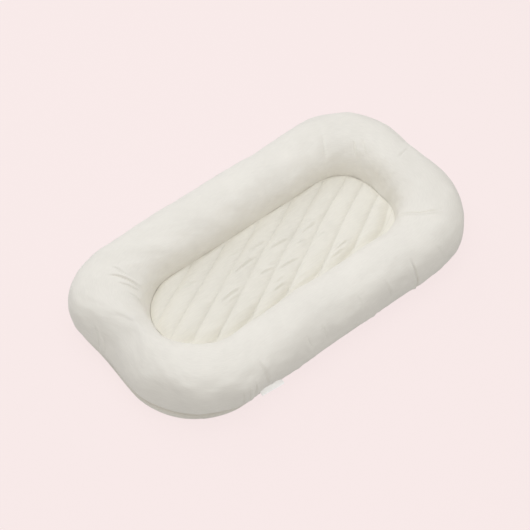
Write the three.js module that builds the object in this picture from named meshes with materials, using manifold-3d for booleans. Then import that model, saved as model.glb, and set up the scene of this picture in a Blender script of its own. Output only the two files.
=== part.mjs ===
// Infant lounger: a fat padded ring round a quilted centre pad, with a zip in the band at its base.
// Millimetres, +Z up. The origin is the middle of the base, on the floor. +X runs along the length,
// the near side is -Y, and the zip is in the far side, +Y.
import * as THREE from 'three';
import { mergeVertices } from 'three/addons/utils/BufferGeometryUtils.js';
import Module from 'manifold-3d';

const wasm = await Module();
wasm.setup();

// Padded ring, over its cover
const LENGTH = 800;
const WIDTH = 448;
const HEIGHT = 118;
const TUBE_WIDTH = 124;
const FLOOR_SAG = 3;
const OUTER_RADIUS_RIGHT_FAR = 162;
const OUTER_RADIUS_LEFT_FAR = 126;
const OUTER_RADIUS_LEFT_NEAR = 164;
const OUTER_RADIUS_RIGHT_NEAR = 156;
const INNER_RADIUS_RIGHT_FAR = 89;
const INNER_RADIUS_LEFT_FAR = 88;
const INNER_RADIUS_LEFT_NEAR = 90;
const INNER_RADIUS_RIGHT_NEAR = 75;
const NEAR_WAIST = 4;

// How square the stuffed section is: 2 is an ellipse, more is squarer
const SECTION_POWER_SHARE = 2.3;

// Heights of the seams that bound the cover
const BASE_SEAM_HEIGHT = 19;
const PAD_SEAM_HEIGHT = 36;

// Fabrics and the gap that touching pieces keep
const SEAT_GAP = 0.3;
const COVER_THICKNESS = 1.2;
const LINER_THICKNESS = 0.8;
const BASE_THICKNESS = 1;
const BAND_THICKNESS = 1.3;

// Base band: a full stretch stands upright, a slack stretch tucks in under the ring
const BAND_FOOT_HEIGHT = 5;
const BAND_WALL_STEP = 0.8;
const BAND_FOOT_TUCK = 3;
const SLACK_LOW_TUCK = 13;
const SLACK_FOOT_TUCK = 19;
// From 0, slack, to 1, full, for each stretch of the outline in the order of STRETCHES
const BAND_FULLNESS_SHARES = [0.7, 1, 0.7, 0.45, 1, 0, 0, 0.3];

// Quilted centre pad
const PAD_EDGE_GAP = 0.6;
const QUILT_UNDERSIDE = 34;
const QUILT_EDGE_THICKNESS = 2.2;
const QUILT_VALLEY_THICKNESS = 6;
const QUILT_PUFF = 5;
const QUILT_CROWN = 1.5;
const QUILT_PITCH = 39.4;
const QUILT_OFFSET = 8.5;
const QUILT_ANGLE = THREE.MathUtils.degToRad(27);
const QUILT_EDGE_ROLL = 16;
const PAD_BACKING_THICKNESS = 0.8;
const PAD_CORE_INSET = 5;
const PAD_CORE_ROUNDING = 5;

// Zip in the far side of the band
const ZIP_MARGIN_LEFT = 24;
const ZIP_MARGIN_RIGHT = 52;
const ZIP_HEM = 1.4;
const ZIP_TAPE_THICKNESS = 0.6;
const ZIP_TAPE_TUCK = 6;
const ZIP_SLIT = 1;
const ZIP_COIL_THICKNESS = 1.4;
const ZIP_PATCH_LENGTH = 11;
const ZIP_STOP_LENGTH = 2.2;
const ZIP_CUT_OVERRUN = 4;

// Zip slider and its pull
const SLIDER_LENGTH = 10;
const SLIDER_SIDE_CLEARANCE = 1.5;
const SLIDER_PLATE = 1;
const SLIDER_FLANGE = 0.8;
const SLIDER_CLEARANCE = 0.4;
const SLIDER_CORNER = 2;
const POST_THICKNESS = 0.5;
const POST_LENGTH = 3;
const PULL_THICKNESS = 1.2;
const PULL_WIDTH = 6;
const PULL_LENGTH = 24;
const PULL_END_ROUNDING = 2.4;
const PULL_HOLE_RADIUS = 1.3;
const BAIL_WIDTH = 2.2;
const BAIL_WALL = 1;
const BAIL_CLEARANCE = 0.6;
const BAIL_SLOT_LENGTH = 3.6;

// Labels sewn into the base seam
const SIDE_LABEL_START = -204;
const SIDE_LABEL_WIDTH = 57;
const SIDE_LABEL_DROP = 17;
const CARE_LABEL_WIDTH = 28;
const CARE_LABEL_DROP = 17;
const LABEL_LEAF = 0.5;
const LABEL_LEAF_GAP = 0.4;
const LABEL_TILT = THREE.MathUtils.degToRad(20);

// Facets
const CORNER_STEPS = 7;
const LONG_SIDE_STEPS = 5;
const END_STEPS = 3;
const COVER_STEPS = 13;
const UNDER_STEPS = 6;
const LINER_SEAM_OUTER_STEP = 2;
const LINER_SEAM_INNER_STEP = 12;
const QUILT_ROWS_PER_CHANNEL = 4;
const QUILT_ROW_SHARES = [0, 0.04, 0.14, 0.32, 0.5, 0.68, 0.86, 0.96, 1];
const QUILT_REACH_SHARE = 0.99;

// Colours
const IVORY = 0xeceae6;
const IVORY_PAD = 0xe8e4d8;
const IVORY_BASE = 0xdcd6ca;
const FIBRE_WHITE = 0xf5f4f0;
const LINER_WHITE = 0xf0eee8;
const TAPE_IVORY = 0xe2dccf;
const COIL_IVORY = 0xd8d2c4;
const LABEL_WHITE = 0xf8f8f8;
const LACQUER_IVORY = 0xe6e1d6;

const cloth = (color) => new THREE.MeshStandardMaterial({ color, roughness: 0.95, metalness: 0 });
const nylon = (color) => new THREE.MeshStandardMaterial({ color, roughness: 0.5, metalness: 0 });
const lacquered = (color) => new THREE.MeshStandardMaterial({ color, roughness: 0.35, metalness: 0.1 });

// Stretches of the outline, anticlockwise from the right end, with the sign of each corner
const STRETCHES = [
  { name: 'right far corner', x: 1, y: 1, steps: CORNER_STEPS },
  { name: 'far side', steps: LONG_SIDE_STEPS },
  { name: 'left far corner', x: -1, y: 1, steps: CORNER_STEPS },
  { name: 'left end', steps: END_STEPS },
  { name: 'left near corner', x: -1, y: -1, steps: CORNER_STEPS },
  { name: 'near side', steps: LONG_SIDE_STEPS },
  { name: 'right near corner', x: 1, y: -1, steps: CORNER_STEPS },
  { name: 'right end', steps: END_STEPS },
];
const NEAR_SIDE = 5;

// Outlines in plan. A corner radius is limited by half the width that it rounds.
const innerHalfLength = LENGTH / 2 - TUBE_WIDTH;
const innerHalfWidth = WIDTH / 2 - TUBE_WIDTH;
const outerOutline = {
  halfLength: LENGTH / 2,
  halfWidth: WIDTH / 2,
  radii: [OUTER_RADIUS_RIGHT_FAR, OUTER_RADIUS_LEFT_FAR, OUTER_RADIUS_LEFT_NEAR, OUTER_RADIUS_RIGHT_NEAR]
    .map((radius) => Math.min(radius, WIDTH / 2)),
  waist: NEAR_WAIST,
};
const innerOutline = {
  halfLength: innerHalfLength,
  halfWidth: innerHalfWidth,
  radii: [INNER_RADIUS_RIGHT_FAR, INNER_RADIUS_LEFT_FAR, INNER_RADIUS_LEFT_NEAR, INNER_RADIUS_RIGHT_NEAR]
    .map((radius) => Math.min(radius, innerHalfWidth)),
  waist: 0,
};

// A point of a corner's arc, at a share of its quarter turn
function cornerPoint(outline, stretch, share) {
  const { x, y } = STRETCHES[stretch];
  const radius = outline.radii[stretch / 2];
  const angle = (stretch / 2 + share) * Math.PI / 2;
  return new THREE.Vector2(
    x * (outline.halfLength - radius) + radius * Math.cos(angle),
    y * (outline.halfWidth - radius) + radius * Math.sin(angle),
  );
}

// A point of the outline. A side runs straight between its corners, and the near side bows in.
function outlinePoint(outline, stretch, share) {
  if (stretch % 2 === 0) return cornerPoint(outline, stretch, share);
  const start = cornerPoint(outline, stretch - 1, 1);
  const end = cornerPoint(outline, (stretch + 1) % STRETCHES.length, 0);
  const point = start.lerp(end, share);
  if (stretch === NEAR_SIDE) point.y += outline.waist * Math.sin(Math.PI * share) ** 2;
  return point;
}

// How full the band stands: constant along a side, eased through each corner by way of its own share
function bandFullness(stretch, share) {
  const count = STRETCHES.length;
  const own = BAND_FULLNESS_SHARES[stretch];
  if (stretch % 2 === 1) return own;
  const before = BAND_FULLNESS_SHARES[(stretch + count - 1) % count];
  const after = BAND_FULLNESS_SHARES[(stretch + 1) % count];
  const [from, to, along] = share < 0.5 ? [before, own, 2 * share] : [own, after, 2 * share - 1];
  return from + (to - from) * (1 - Math.cos(Math.PI * along)) / 2;
}

// A station is a place round the ring: the tube's middle, its outward direction and its half width
function stationAt(stretch, share) {
  const outer = outlinePoint(outerOutline, stretch, share);
  const inner = outlinePoint(innerOutline, stretch, share);
  return {
    middle: outer.clone().add(inner).multiplyScalar(0.5),
    outward: outer.clone().sub(inner).normalize(),
    halfWidth: outer.distanceTo(inner) / 2,
    fullness: bandFullness(stretch, share),
  };
}
const stations = STRETCHES.flatMap(({ steps }, stretch) =>
  Array.from({ length: steps }, (_, step) => stationAt(stretch, step / steps)));

// A point of the tube's section: q is measured outward from the tube's middle, z up from the floor
function sectionPoint(station, q, z) {
  const plan = station.middle.clone().addScaledVector(station.outward, q);
  return new THREE.Vector3(plan.x, plan.y, z);
}

// The stuffed section is a superellipse. Its lower half would sag past the floor, which flattens it.
const middleHeight = HEIGHT / 2;
const lowerHeight = middleHeight + FLOOR_SAG;
const rounded = (value) => Math.sign(value) * Math.abs(value) ** (2 / SECTION_POWER_SHARE);
const across = (angle) => rounded(Math.cos(angle));
const rise = (angle) => rounded(Math.sin(angle));
const dipAtHeight = (z) => Math.asin(((middleHeight - z) / lowerHeight) ** (SECTION_POWER_SHARE / 2));

// Angles round the section: the cover from the base seam over the crest to the pad seam, then under
const baseSeamAngle = -dipAtHeight(BASE_SEAM_HEIGHT);
const padSeamAngle = Math.PI + dipAtHeight(PAD_SEAM_HEIGHT);
const sectionSteps = COVER_STEPS + UNDER_STEPS;
function sectionAngle(step) {
  const turn = 2 * Math.PI * Math.floor(step / sectionSteps);
  const within = step % sectionSteps;
  if (within <= COVER_STEPS) {
    return turn + baseSeamAngle + (padSeamAngle - baseSeamAngle) * within / COVER_STEPS;
  }
  const under = (within - COVER_STEPS) / UNDER_STEPS;
  return turn + padSeamAngle + (baseSeamAngle + 2 * Math.PI - padSeamAngle) * under;
}

// A point of one layer of the tube, inset from the cover's face and resting on a floor height
function layerPoint(station, step, inset, floor) {
  const angle = sectionAngle(step);
  const q = (station.halfWidth - inset) * across(angle);
  const reach = rise(angle) < 0 ? lowerHeight : middleHeight;
  const z = middleHeight + (reach - inset) * rise(angle);
  return sectionPoint(station, q, Math.max(z, floor));
}

// A solid from rows of points, each row joined to the next, with outward faces
function solidFromRows(rows, closed) {
  const columns = rows[0].length;
  const positions = rows.flat().flatMap((point) => [point.x, point.y, point.z]);
  const index = [];
  const bands = closed ? rows.length : rows.length - 1;
  for (let row = 0; row < bands; row++) {
    const next = (row + 1) % rows.length;
    for (let column = 0; column < columns; column++) {
      const right = (column + 1) % columns;
      const [a, b, c, d] = [row * columns + column, row * columns + right, next * columns + right,
        next * columns + column];
      index.push(a, b, c, a, c, d);
    }
  }
  if (!closed) {
    for (let column = 1; column < columns - 1; column++) {
      const last = (rows.length - 1) * columns;
      index.push(0, column + 1, column, last, last + column, last + column + 1);
    }
  }
  return outwardGeometry(positions, index);
}

// Turns the faces of a closed mesh outward, by the sign of its volume
function outwardGeometry(positions, index) {
  let volume = 0;
  const corner = (k) => new THREE.Vector3().fromArray(positions, 3 * index[k]);
  for (let k = 0; k < index.length; k += 3) {
    volume += corner(k).dot(corner(k + 1).cross(corner(k + 2)));
  }
  if (volume < 0) {
    for (let k = 0; k < index.length; k += 3) [index[k], index[k + 1]] = [index[k + 1], index[k]];
  }
  const geometry = new THREE.BufferGeometry();
  geometry.setAttribute('position', new THREE.Float32BufferAttribute(positions, 3));
  geometry.setIndex(index);
  return geometry;
}

// Booleans
function toManifold(geometry) {
  const bare = geometry.clone();
  bare.deleteAttribute('normal');
  bare.deleteAttribute('uv');
  const merged = mergeVertices(bare);
  return new wasm.Manifold(new wasm.Mesh({
    numProp: 3,
    vertProperties: new Float32Array(merged.attributes.position.array),
    triVerts: new Uint32Array(merged.index.array),
  }));
}
function toGeometry(manifold) {
  const mesh = manifold.getMesh();
  const geometry = new THREE.BufferGeometry();
  geometry.setAttribute('position', new THREE.BufferAttribute(mesh.vertProperties, 3));
  geometry.setIndex(new THREE.BufferAttribute(mesh.triVerts, 1));
  return geometry;
}
const cut = (geometry, tool) => toGeometry(toManifold(geometry).subtract(toManifold(tool)));
const join = (...geometries) =>
  toGeometry(geometries.map(toManifold).reduce((whole, piece) => whole.add(piece)));

// A box between two corners
function boxBetween([x0, y0, z0], [x1, y1, z1]) {
  const box = new THREE.BoxGeometry(x1 - x0, y1 - y0, z1 - z0);
  return box.translate((x0 + x1) / 2, (y0 + y1) / 2, (z0 + z1) / 2);
}

// A flat sheet with an outline in plan, between two heights
function sheetBetween(outline, low, high, rounding = 0) {
  const shape = new THREE.Shape(outline);
  const geometry = new THREE.ExtrudeGeometry(shape, {
    depth: high - low - 2 * rounding,
    bevelEnabled: rounding > 0,
    bevelThickness: rounding,
    bevelSize: rounding,
    bevelOffset: -rounding,
    bevelSegments: 2,
  });
  return geometry.translate(0, 0, low + rounding);
}

// Layers of the ring, from the outside in
const linerInset = COVER_THICKNESS + SEAT_GAP;
const fillInset = linerInset + LINER_THICKNESS + SEAT_GAP;
const linerFloor = BASE_THICKNESS + SEAT_GAP;
const fillFloor = linerFloor + LINER_THICKNESS + SEAT_GAP;

// A fabric panel of the tube, from one step of the section to another
function tubePanel(firstStep, lastStep, inset, thickness, floor) {
  const steps = Array.from({ length: lastStep - firstStep + 1 }, (_, k) => firstStep + k);
  return solidFromRows(stations.map((station) => [
    ...steps.map((step) => layerPoint(station, step, inset, floor)),
    ...steps.toReversed().map((step) => layerPoint(station, step, inset + thickness, floor + thickness)),
  ]), true);
}

function bolsterCover() {
  return tubePanel(0, COVER_STEPS, 0, COVER_THICKNESS, 0);
}

// The liner's two panels meet in seams at the outer and inner sides. Each stops half a gap short.
function linerUpper() {
  return linerPanel(LINER_SEAM_OUTER_STEP, LINER_SEAM_INNER_STEP, SEAT_GAP / 2);
}
function linerLower() {
  return linerPanel(LINER_SEAM_INNER_STEP, LINER_SEAM_OUTER_STEP + sectionSteps, -SEAT_GAP / 2);
}
function linerPanel(firstStep, lastStep, lift) {
  const panel = tubePanel(firstStep, lastStep, linerInset, LINER_THICKNESS, linerFloor);
  const position = panel.attributes.position;
  const rowLength = 2 * (lastStep - firstStep + 1);
  const half = rowLength / 2;
  for (let k = 0; k < position.count; k++) {
    const column = k % rowLength;
    const atSeam = column % half === 0 || column % half === half - 1;
    if (atSeam) position.setZ(k, position.getZ(k) + lift);
  }
  return panel;
}

function bolsterFill() {
  const steps = Array.from({ length: sectionSteps }, (_, step) => step);
  return solidFromRows(stations.map((station) =>
    steps.map((step) => layerPoint(station, step, fillInset, fillFloor))), true);
}

// The band's outer face, from the base seam down to the base panel, as distances from the tube's middle
function bandProfile(station) {
  const seam = station.halfWidth * across(baseSeamAngle);
  const wall = BAND_WALL_STEP * station.fullness;
  const slack = 1 - station.fullness;
  return [
    { q: seam + wall, z: BASE_SEAM_HEIGHT - SEAT_GAP },
    { q: seam + wall - SLACK_LOW_TUCK * slack, z: BAND_FOOT_HEIGHT },
    { q: seam + wall - BAND_FOOT_TUCK * station.fullness - SLACK_FOOT_TUCK * slack, z: linerFloor },
  ];
}
const farStation = stationAt(1, 0.5);
const wallY = sectionPoint(farStation, bandProfile(farStation)[0].q, 0).y;

// Zip window in the far side, and the places of the zip's rows in it
const windowStart = cornerPoint(outerOutline, 2, 0).x + ZIP_MARGIN_LEFT;
const windowEnd = cornerPoint(outerOutline, 0, 1).x - ZIP_MARGIN_RIGHT;
const windowLow = BAND_FOOT_HEIGHT + ZIP_HEM;
const windowHigh = BASE_SEAM_HEIGHT - SEAT_GAP - ZIP_HEM;
const zipHeight = (windowLow + windowHigh) / 2;
const tapeFront = wallY - BAND_THICKNESS - SEAT_GAP;
const coilFront = tapeFront + SEAT_GAP + ZIP_COIL_THICKNESS;
const sliderHalfWidth = (windowHigh - windowLow) / 2 - SLIDER_SIDE_CLEARANCE;
const coilEdge = sliderHalfWidth - SLIDER_FLANGE - SLIDER_CLEARANCE;
const patchEnds = [windowStart + SEAT_GAP + ZIP_PATCH_LENGTH, windowEnd - SEAT_GAP - ZIP_PATCH_LENGTH];
const coilStart = patchEnds[0] + SEAT_GAP + ZIP_STOP_LENGTH + SEAT_GAP;
const coilEnd = patchEnds[1] - SEAT_GAP - ZIP_STOP_LENGTH - SEAT_GAP;
const sliderHome = coilStart + SLIDER_LENGTH / 2 + SLIDER_CLEARANCE;

function baseBand() {
  const ring = solidFromRows(stations.map((station) => {
    const profile = bandProfile(station);
    return [
      ...profile.map(({ q, z }) => sectionPoint(station, q, z)),
      ...profile.toReversed().map(({ q, z }) => sectionPoint(station, q - BAND_THICKNESS, z)),
    ];
  }), true);
  return cut(ring, boxBetween(
    [windowStart, wallY - ZIP_CUT_OVERRUN, windowLow],
    [windowEnd, wallY + ZIP_CUT_OVERRUN, windowHigh],
  ));
}

function basePanel() {
  const outline = stations.map((station) => {
    const { x, y } = sectionPoint(station, bandProfile(station)[2].q, 0);
    return new THREE.Vector2(x, y);
  });
  return sheetBetween(outline, 0, BASE_THICKNESS);
}

// The pad's outline lies just inside the cover's lower inner edge
function padOutline(inset) {
  return stations.map((station) => {
    const q = station.halfWidth * across(padSeamAngle) - PAD_EDGE_GAP - inset;
    const { x, y } = sectionPoint(station, q, 0);
    return new THREE.Vector2(x, y);
  });
}

// Where the line at a given distance across the channels enters and leaves the pad's outline
const alongChannel = new THREE.Vector2(Math.cos(QUILT_ANGLE), Math.sin(QUILT_ANGLE));
const acrossChannel = new THREE.Vector2(Math.sin(QUILT_ANGLE), -Math.cos(QUILT_ANGLE));
function channelEnds(outline, distance) {
  const crossings = [];
  outline.forEach((from, k) => {
    const to = outline[(k + 1) % outline.length];
    const [a, b] = [from.dot(acrossChannel) - distance, to.dot(acrossChannel) - distance];
    if (a < 0 !== b < 0) crossings.push(from.clone().lerp(to, a / (a - b)));
  });
  return crossings.sort((a, b) => a.dot(alongChannel) - b.dot(alongChannel));
}

function distanceToOutline(outline, point) {
  return Math.min(...outline.map((from, k) => {
    const edge = outline[(k + 1) % outline.length].clone().sub(from);
    const offset = point.clone().sub(from);
    const share = THREE.MathUtils.clamp(offset.dot(edge) / edge.lengthSq(), 0, 1);
    return offset.addScaledVector(edge, -share).length();
  }));
}

// Thickness of the quilt: thin at its sewn edge, rising over the edge roll, puffed between stitch lines
function quiltThickness(outline, point) {
  const roll = Math.min(distanceToOutline(outline, point) / QUILT_EDGE_ROLL, 1);
  const eased = Math.sin(roll * Math.PI / 2);
  const phase = (point.dot(acrossChannel) - QUILT_OFFSET) / QUILT_PITCH;
  const puff = QUILT_PUFF * Math.sqrt(Math.abs(Math.sin(Math.PI * phase)));
  const crown = QUILT_CROWN * Math.cos(Math.PI / 2 * THREE.MathUtils.clamp(point.y / innerHalfWidth, -1, 1));
  return THREE.MathUtils.lerp(QUILT_EDGE_THICKNESS, QUILT_VALLEY_THICKNESS + puff + crown, eased);
}

// The quilt is lofted row by row across the channels, with a row on every stitch line
function quiltedPad() {
  const outline = padOutline(0);
  const reaches = outline.map((point) => point.dot(acrossChannel));
  const low = Math.min(...reaches) * QUILT_REACH_SHARE;
  const high = Math.max(...reaches) * QUILT_REACH_SHARE;
  const rowPitch = QUILT_PITCH / QUILT_ROWS_PER_CHANNEL;
  const firstRow = Math.ceil((low - QUILT_OFFSET) / rowPitch);
  const lastRow = Math.floor((high - QUILT_OFFSET) / rowPitch);
  const inner = Array.from({ length: lastRow - firstRow + 1 }, (_, k) => QUILT_OFFSET + (firstRow + k) * rowPitch)
    .filter((distance) => distance > low + rowPitch / 2 && distance < high - rowPitch / 2);
  return solidFromRows([low, ...inner, high].map((distance) => {
    const [start, end] = channelEnds(outline, distance);
    const points = QUILT_ROW_SHARES.map((share) => start.clone().lerp(end, share));
    return [
      ...points.map((point) =>
        new THREE.Vector3(point.x, point.y, QUILT_UNDERSIDE + quiltThickness(outline, point))),
      ...points.toReversed().map((point) => new THREE.Vector3(point.x, point.y, QUILT_UNDERSIDE)),
    ];
  }), false);
}

const backingTop = QUILT_UNDERSIDE - SEAT_GAP;
const backingLow = backingTop - PAD_BACKING_THICKNESS;
function padBacking() {
  return sheetBetween(padOutline(0), backingLow, backingTop);
}
function padCore() {
  return sheetBetween(padOutline(PAD_CORE_INSET), linerFloor, backingLow - SEAT_GAP, PAD_CORE_ROUNDING);
}

// Zip rows: side is 1 for the upper row and -1 for the lower
function zipTape(side) {
  const edge = side > 0 ? windowHigh + ZIP_HEM - SEAT_GAP : windowLow - ZIP_HEM + SEAT_GAP;
  const heights = [zipHeight + side * ZIP_SLIT / 2, edge].sort((a, b) => a - b);
  return boxBetween(
    [windowStart - ZIP_TAPE_TUCK, tapeFront - ZIP_TAPE_THICKNESS, heights[0]],
    [windowEnd + ZIP_TAPE_TUCK, tapeFront, heights[1]],
  );
}
function zipCoil(side) {
  const heights = [zipHeight + side * ZIP_SLIT / 2, zipHeight + side * coilEdge].sort((a, b) => a - b);
  return boxBetween(
    [coilStart, tapeFront + SEAT_GAP, heights[0]],
    [coilEnd, coilFront, heights[1]],
  );
}
function zipStop(start) {
  return boxBetween(
    [start, tapeFront + SEAT_GAP, zipHeight - coilEdge],
    [start + ZIP_STOP_LENGTH, coilFront, zipHeight + coilEdge],
  );
}
function zipEndPatch(start) {
  return boxBetween(
    [start, tapeFront + SEAT_GAP, windowLow + SEAT_GAP],
    [start + ZIP_PATCH_LENGTH, wallY, windowHigh - SEAT_GAP],
  );
}

// Rounded plate standing in the X-Z plane, from one depth to another
function uprightPlate(length, height, corner, from, to, holes = []) {
  const [x, z] = [length / 2, height / 2];
  const shape = new THREE.Shape();
  shape.moveTo(-x + corner, -z);
  shape.lineTo(x - corner, -z);
  shape.absarc(x - corner, -z + corner, corner, -Math.PI / 2, 0);
  shape.lineTo(x, z - corner);
  shape.absarc(x - corner, z - corner, corner, 0, Math.PI / 2);
  shape.lineTo(-x + corner, z);
  shape.absarc(-x + corner, z - corner, corner, Math.PI / 2, Math.PI);
  shape.lineTo(-x, -z + corner);
  shape.absarc(-x + corner, -z + corner, corner, Math.PI, 1.5 * Math.PI);
  shape.holes.push(...holes);
  const plate = new THREE.ExtrudeGeometry(shape, { depth: to - from, bevelEnabled: false, curveSegments: 4 });
  return plate.rotateX(Math.PI / 2).translate(0, to, 0);
}

// Slider, in its own frame: the middle of the coils' front face at its own middle length
const frontPlateInner = SLIDER_CLEARANCE;
const frontPlateOuter = frontPlateInner + SLIDER_PLATE;
const backPlateOuter = tapeFront - ZIP_TAPE_THICKNESS - SLIDER_CLEARANCE - coilFront;
const flangeInner = tapeFront + SLIDER_CLEARANCE - coilFront;
const bailCavity = PULL_THICKNESS + BAIL_CLEARANCE * 2;
const pivotDepth = frontPlateOuter + bailCavity / 2;
function zipSlider() {
  const corner = Math.min(SLIDER_CORNER, sliderHalfWidth / 2);
  const front = uprightPlate(SLIDER_LENGTH, 2 * sliderHalfWidth, corner, frontPlateInner, frontPlateOuter);
  const back = uprightPlate(SLIDER_LENGTH, 2 * sliderHalfWidth, corner,
    backPlateOuter - SLIDER_PLATE, backPlateOuter);
  const flangeHalfLength = SLIDER_LENGTH / 2 - corner;
  const flange = (side) => {
    const heights = [side * (sliderHalfWidth - SLIDER_FLANGE), side * sliderHalfWidth].sort((a, b) => a - b);
    return boxBetween(
      [-flangeHalfLength, flangeInner, heights[0]],
      [flangeHalfLength, frontPlateInner + SLIDER_PLATE / 2, heights[1]],
    );
  };
  const postEnd = SLIDER_LENGTH / 2 - SLIDER_PLATE;
  const post = boxBetween(
    [postEnd - POST_LENGTH, backPlateOuter - SLIDER_PLATE / 2, -POST_THICKNESS / 2],
    [postEnd, frontPlateInner + SLIDER_PLATE / 2, POST_THICKNESS / 2],
  );
  const bailHalf = PULL_THICKNESS / 2 + BAIL_CLEARANCE + BAIL_WALL;
  const bail = cut(
    boxBetween(
      [-bailHalf, frontPlateOuter - SLIDER_PLATE / 2, -BAIL_WIDTH / 2],
      [bailHalf, frontPlateOuter + bailCavity + BAIL_WALL, BAIL_WIDTH / 2],
    ),
    boxBetween(
      [-bailHalf + BAIL_WALL, frontPlateOuter, -BAIL_WIDTH],
      [bailHalf - BAIL_WALL, frontPlateOuter + bailCavity, BAIL_WIDTH],
    ),
  );
  return join(front, back, flange(1), flange(-1), post, bail);
}

// Pull: a plate whose slot goes round the slider's bail. Its end bar turns inside the bail.
function zipPull() {
  const slotHalf = BAIL_WIDTH / 2 + SLIDER_CLEARANCE;
  const barHalf = PULL_THICKNESS / 2;
  const centre = PULL_LENGTH / 2 - barHalf;
  const slot = new THREE.Path([
    new THREE.Vector2(barHalf - centre, -slotHalf),
    new THREE.Vector2(barHalf + BAIL_SLOT_LENGTH - centre, -slotHalf),
    new THREE.Vector2(barHalf + BAIL_SLOT_LENGTH - centre, slotHalf),
    new THREE.Vector2(barHalf - centre, slotHalf),
  ]);
  const hole = new THREE.Path();
  hole.absarc(PULL_LENGTH / 2 - PULL_END_ROUNDING - PULL_HOLE_RADIUS, 0, PULL_HOLE_RADIUS, 0, 2 * Math.PI);
  const plate = uprightPlate(PULL_LENGTH, PULL_WIDTH, barHalf, -barHalf, barHalf, [slot, hole]);
  return plate.translate(centre, 0, 0);
}

// A folded label hanging from the base seam: two leaves joined at the lower fold
function foldedLabel(width, drop) {
  const outer = LABEL_LEAF + LABEL_LEAF_GAP / 2;
  const inner = LABEL_LEAF_GAP / 2;
  const shape = new THREE.Shape();
  shape.moveTo(outer, 0);
  shape.lineTo(inner, 0);
  shape.lineTo(inner, -drop + outer);
  shape.absarc(0, -drop + outer, inner, 0, -Math.PI, true);
  shape.lineTo(-inner, 0);
  shape.lineTo(-outer, 0);
  shape.lineTo(-outer, -drop + outer);
  shape.absarc(0, -drop + outer, outer, -Math.PI, 0, false);
  const label = new THREE.ExtrudeGeometry(shape, { depth: width, bevelEnabled: false, curveSegments: 6 });
  return label.rotateX(Math.PI / 2).rotateZ(Math.PI / 2).rotateX(-LABEL_TILT);
}

// The ring's base seam at a place along a straight side
function seamOutside(stretch, share) {
  const station = stationAt(stretch, share);
  const outer = Math.max(bandProfile(station)[0].q, station.halfWidth * across(baseSeamAngle));
  return sectionPoint(station, outer + SEAT_GAP + LABEL_LEAF + LABEL_LEAF_GAP / 2,
    BASE_SEAM_HEIGHT - SEAT_GAP);
}
function sideShare(stretch, x) {
  const [start, end] = [outlinePoint(outerOutline, stretch, 0), outlinePoint(outerOutline, stretch, 1)];
  return (x - start.x) / (end.x - start.x);
}
const nearShare = (x) => sideShare(NEAR_SIDE, x);
const farShare = (x) => sideShare(1, x);

const lounger = new THREE.Group();
function add(name, geometry, material, parent = lounger) {
  const mesh = new THREE.Mesh(geometry, material);
  mesh.name = name;
  parent.add(mesh);
  return mesh;
}

// Ring
add('bolster_cover', bolsterCover(), cloth(IVORY));
add('bolster_liner_upper', linerUpper(), cloth(LINER_WHITE));
add('bolster_liner_lower', linerLower(), cloth(LINER_WHITE));
add('bolster_fill', bolsterFill(), cloth(FIBRE_WHITE));

// Base
add('base_band', baseBand(), cloth(IVORY_BASE));
add('base_panel', basePanel(), cloth(IVORY_BASE));

// Centre pad
add('quilted_pad', quiltedPad(), cloth(IVORY_PAD));
add('pad_backing', padBacking(), cloth(LINER_WHITE));
add('pad_core', padCore(), cloth(FIBRE_WHITE));

// Zip
add('zip_tape_upper', zipTape(1), cloth(TAPE_IVORY));
add('zip_tape_lower', zipTape(-1), cloth(TAPE_IVORY));
add('zip_coil_upper', zipCoil(1), nylon(COIL_IVORY));
add('zip_coil_lower', zipCoil(-1), nylon(COIL_IVORY));
add('zip_stop_closed', zipStop(patchEnds[0] + SEAT_GAP), nylon(COIL_IVORY));
add('zip_stop_open', zipStop(coilEnd + SEAT_GAP), nylon(COIL_IVORY));
add('zip_patch_closed', zipEndPatch(windowStart + SEAT_GAP), cloth(IVORY_BASE));
add('zip_patch_open', zipEndPatch(patchEnds[1]), cloth(IVORY_BASE));

const slider = new THREE.Group();
slider.position.set(sliderHome, coilFront, zipHeight);
lounger.add(slider);
add('zip_slider', zipSlider(), lacquered(LACQUER_IVORY), slider);
add('zip_pull', zipPull(), lacquered(LACQUER_IVORY), slider).position.y = pivotDepth;

// Labels. Each hangs from two points of the seam, with its fold down and outward.
function hangLabel(name, stretch, shares, drop) {
  const [start, end] = shares.map((share) => seamOutside(stretch, share));
  const width = start.distanceTo(end);
  const label = add(name, foldedLabel(width, drop), cloth(LABEL_WHITE));
  label.position.copy(start);
  label.rotation.z = Math.atan2(end.y - start.y, end.x - start.x);
}
hangLabel('side_label', NEAR_SIDE,
  [SIDE_LABEL_START, SIDE_LABEL_START + SIDE_LABEL_WIDTH].map(nearShare), SIDE_LABEL_DROP);
const careLabelEnd = (windowEnd + cornerPoint(outerOutline, 0, 1).x) / 2 + CARE_LABEL_WIDTH / 2;
hangLabel('care_label', 1, [careLabelEnd, careLabelEnd - CARE_LABEL_WIDTH].map(farShare), CARE_LABEL_DROP);

export default lounger;
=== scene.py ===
"""Infant lounger: a stuffed ring sewn round a quilted centre pad, on a base band with a zip.

The file is laid out as an add-on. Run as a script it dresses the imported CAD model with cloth.
Shapes are worked out in millimetres, with +X along the length, -Y the near side and +Z up.
Meshes are in metres.
"""
import math
import bpy
import numpy as np
from bpy.props import FloatProperty, FloatVectorProperty, PointerProperty
from mathutils import Matrix, Vector


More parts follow.
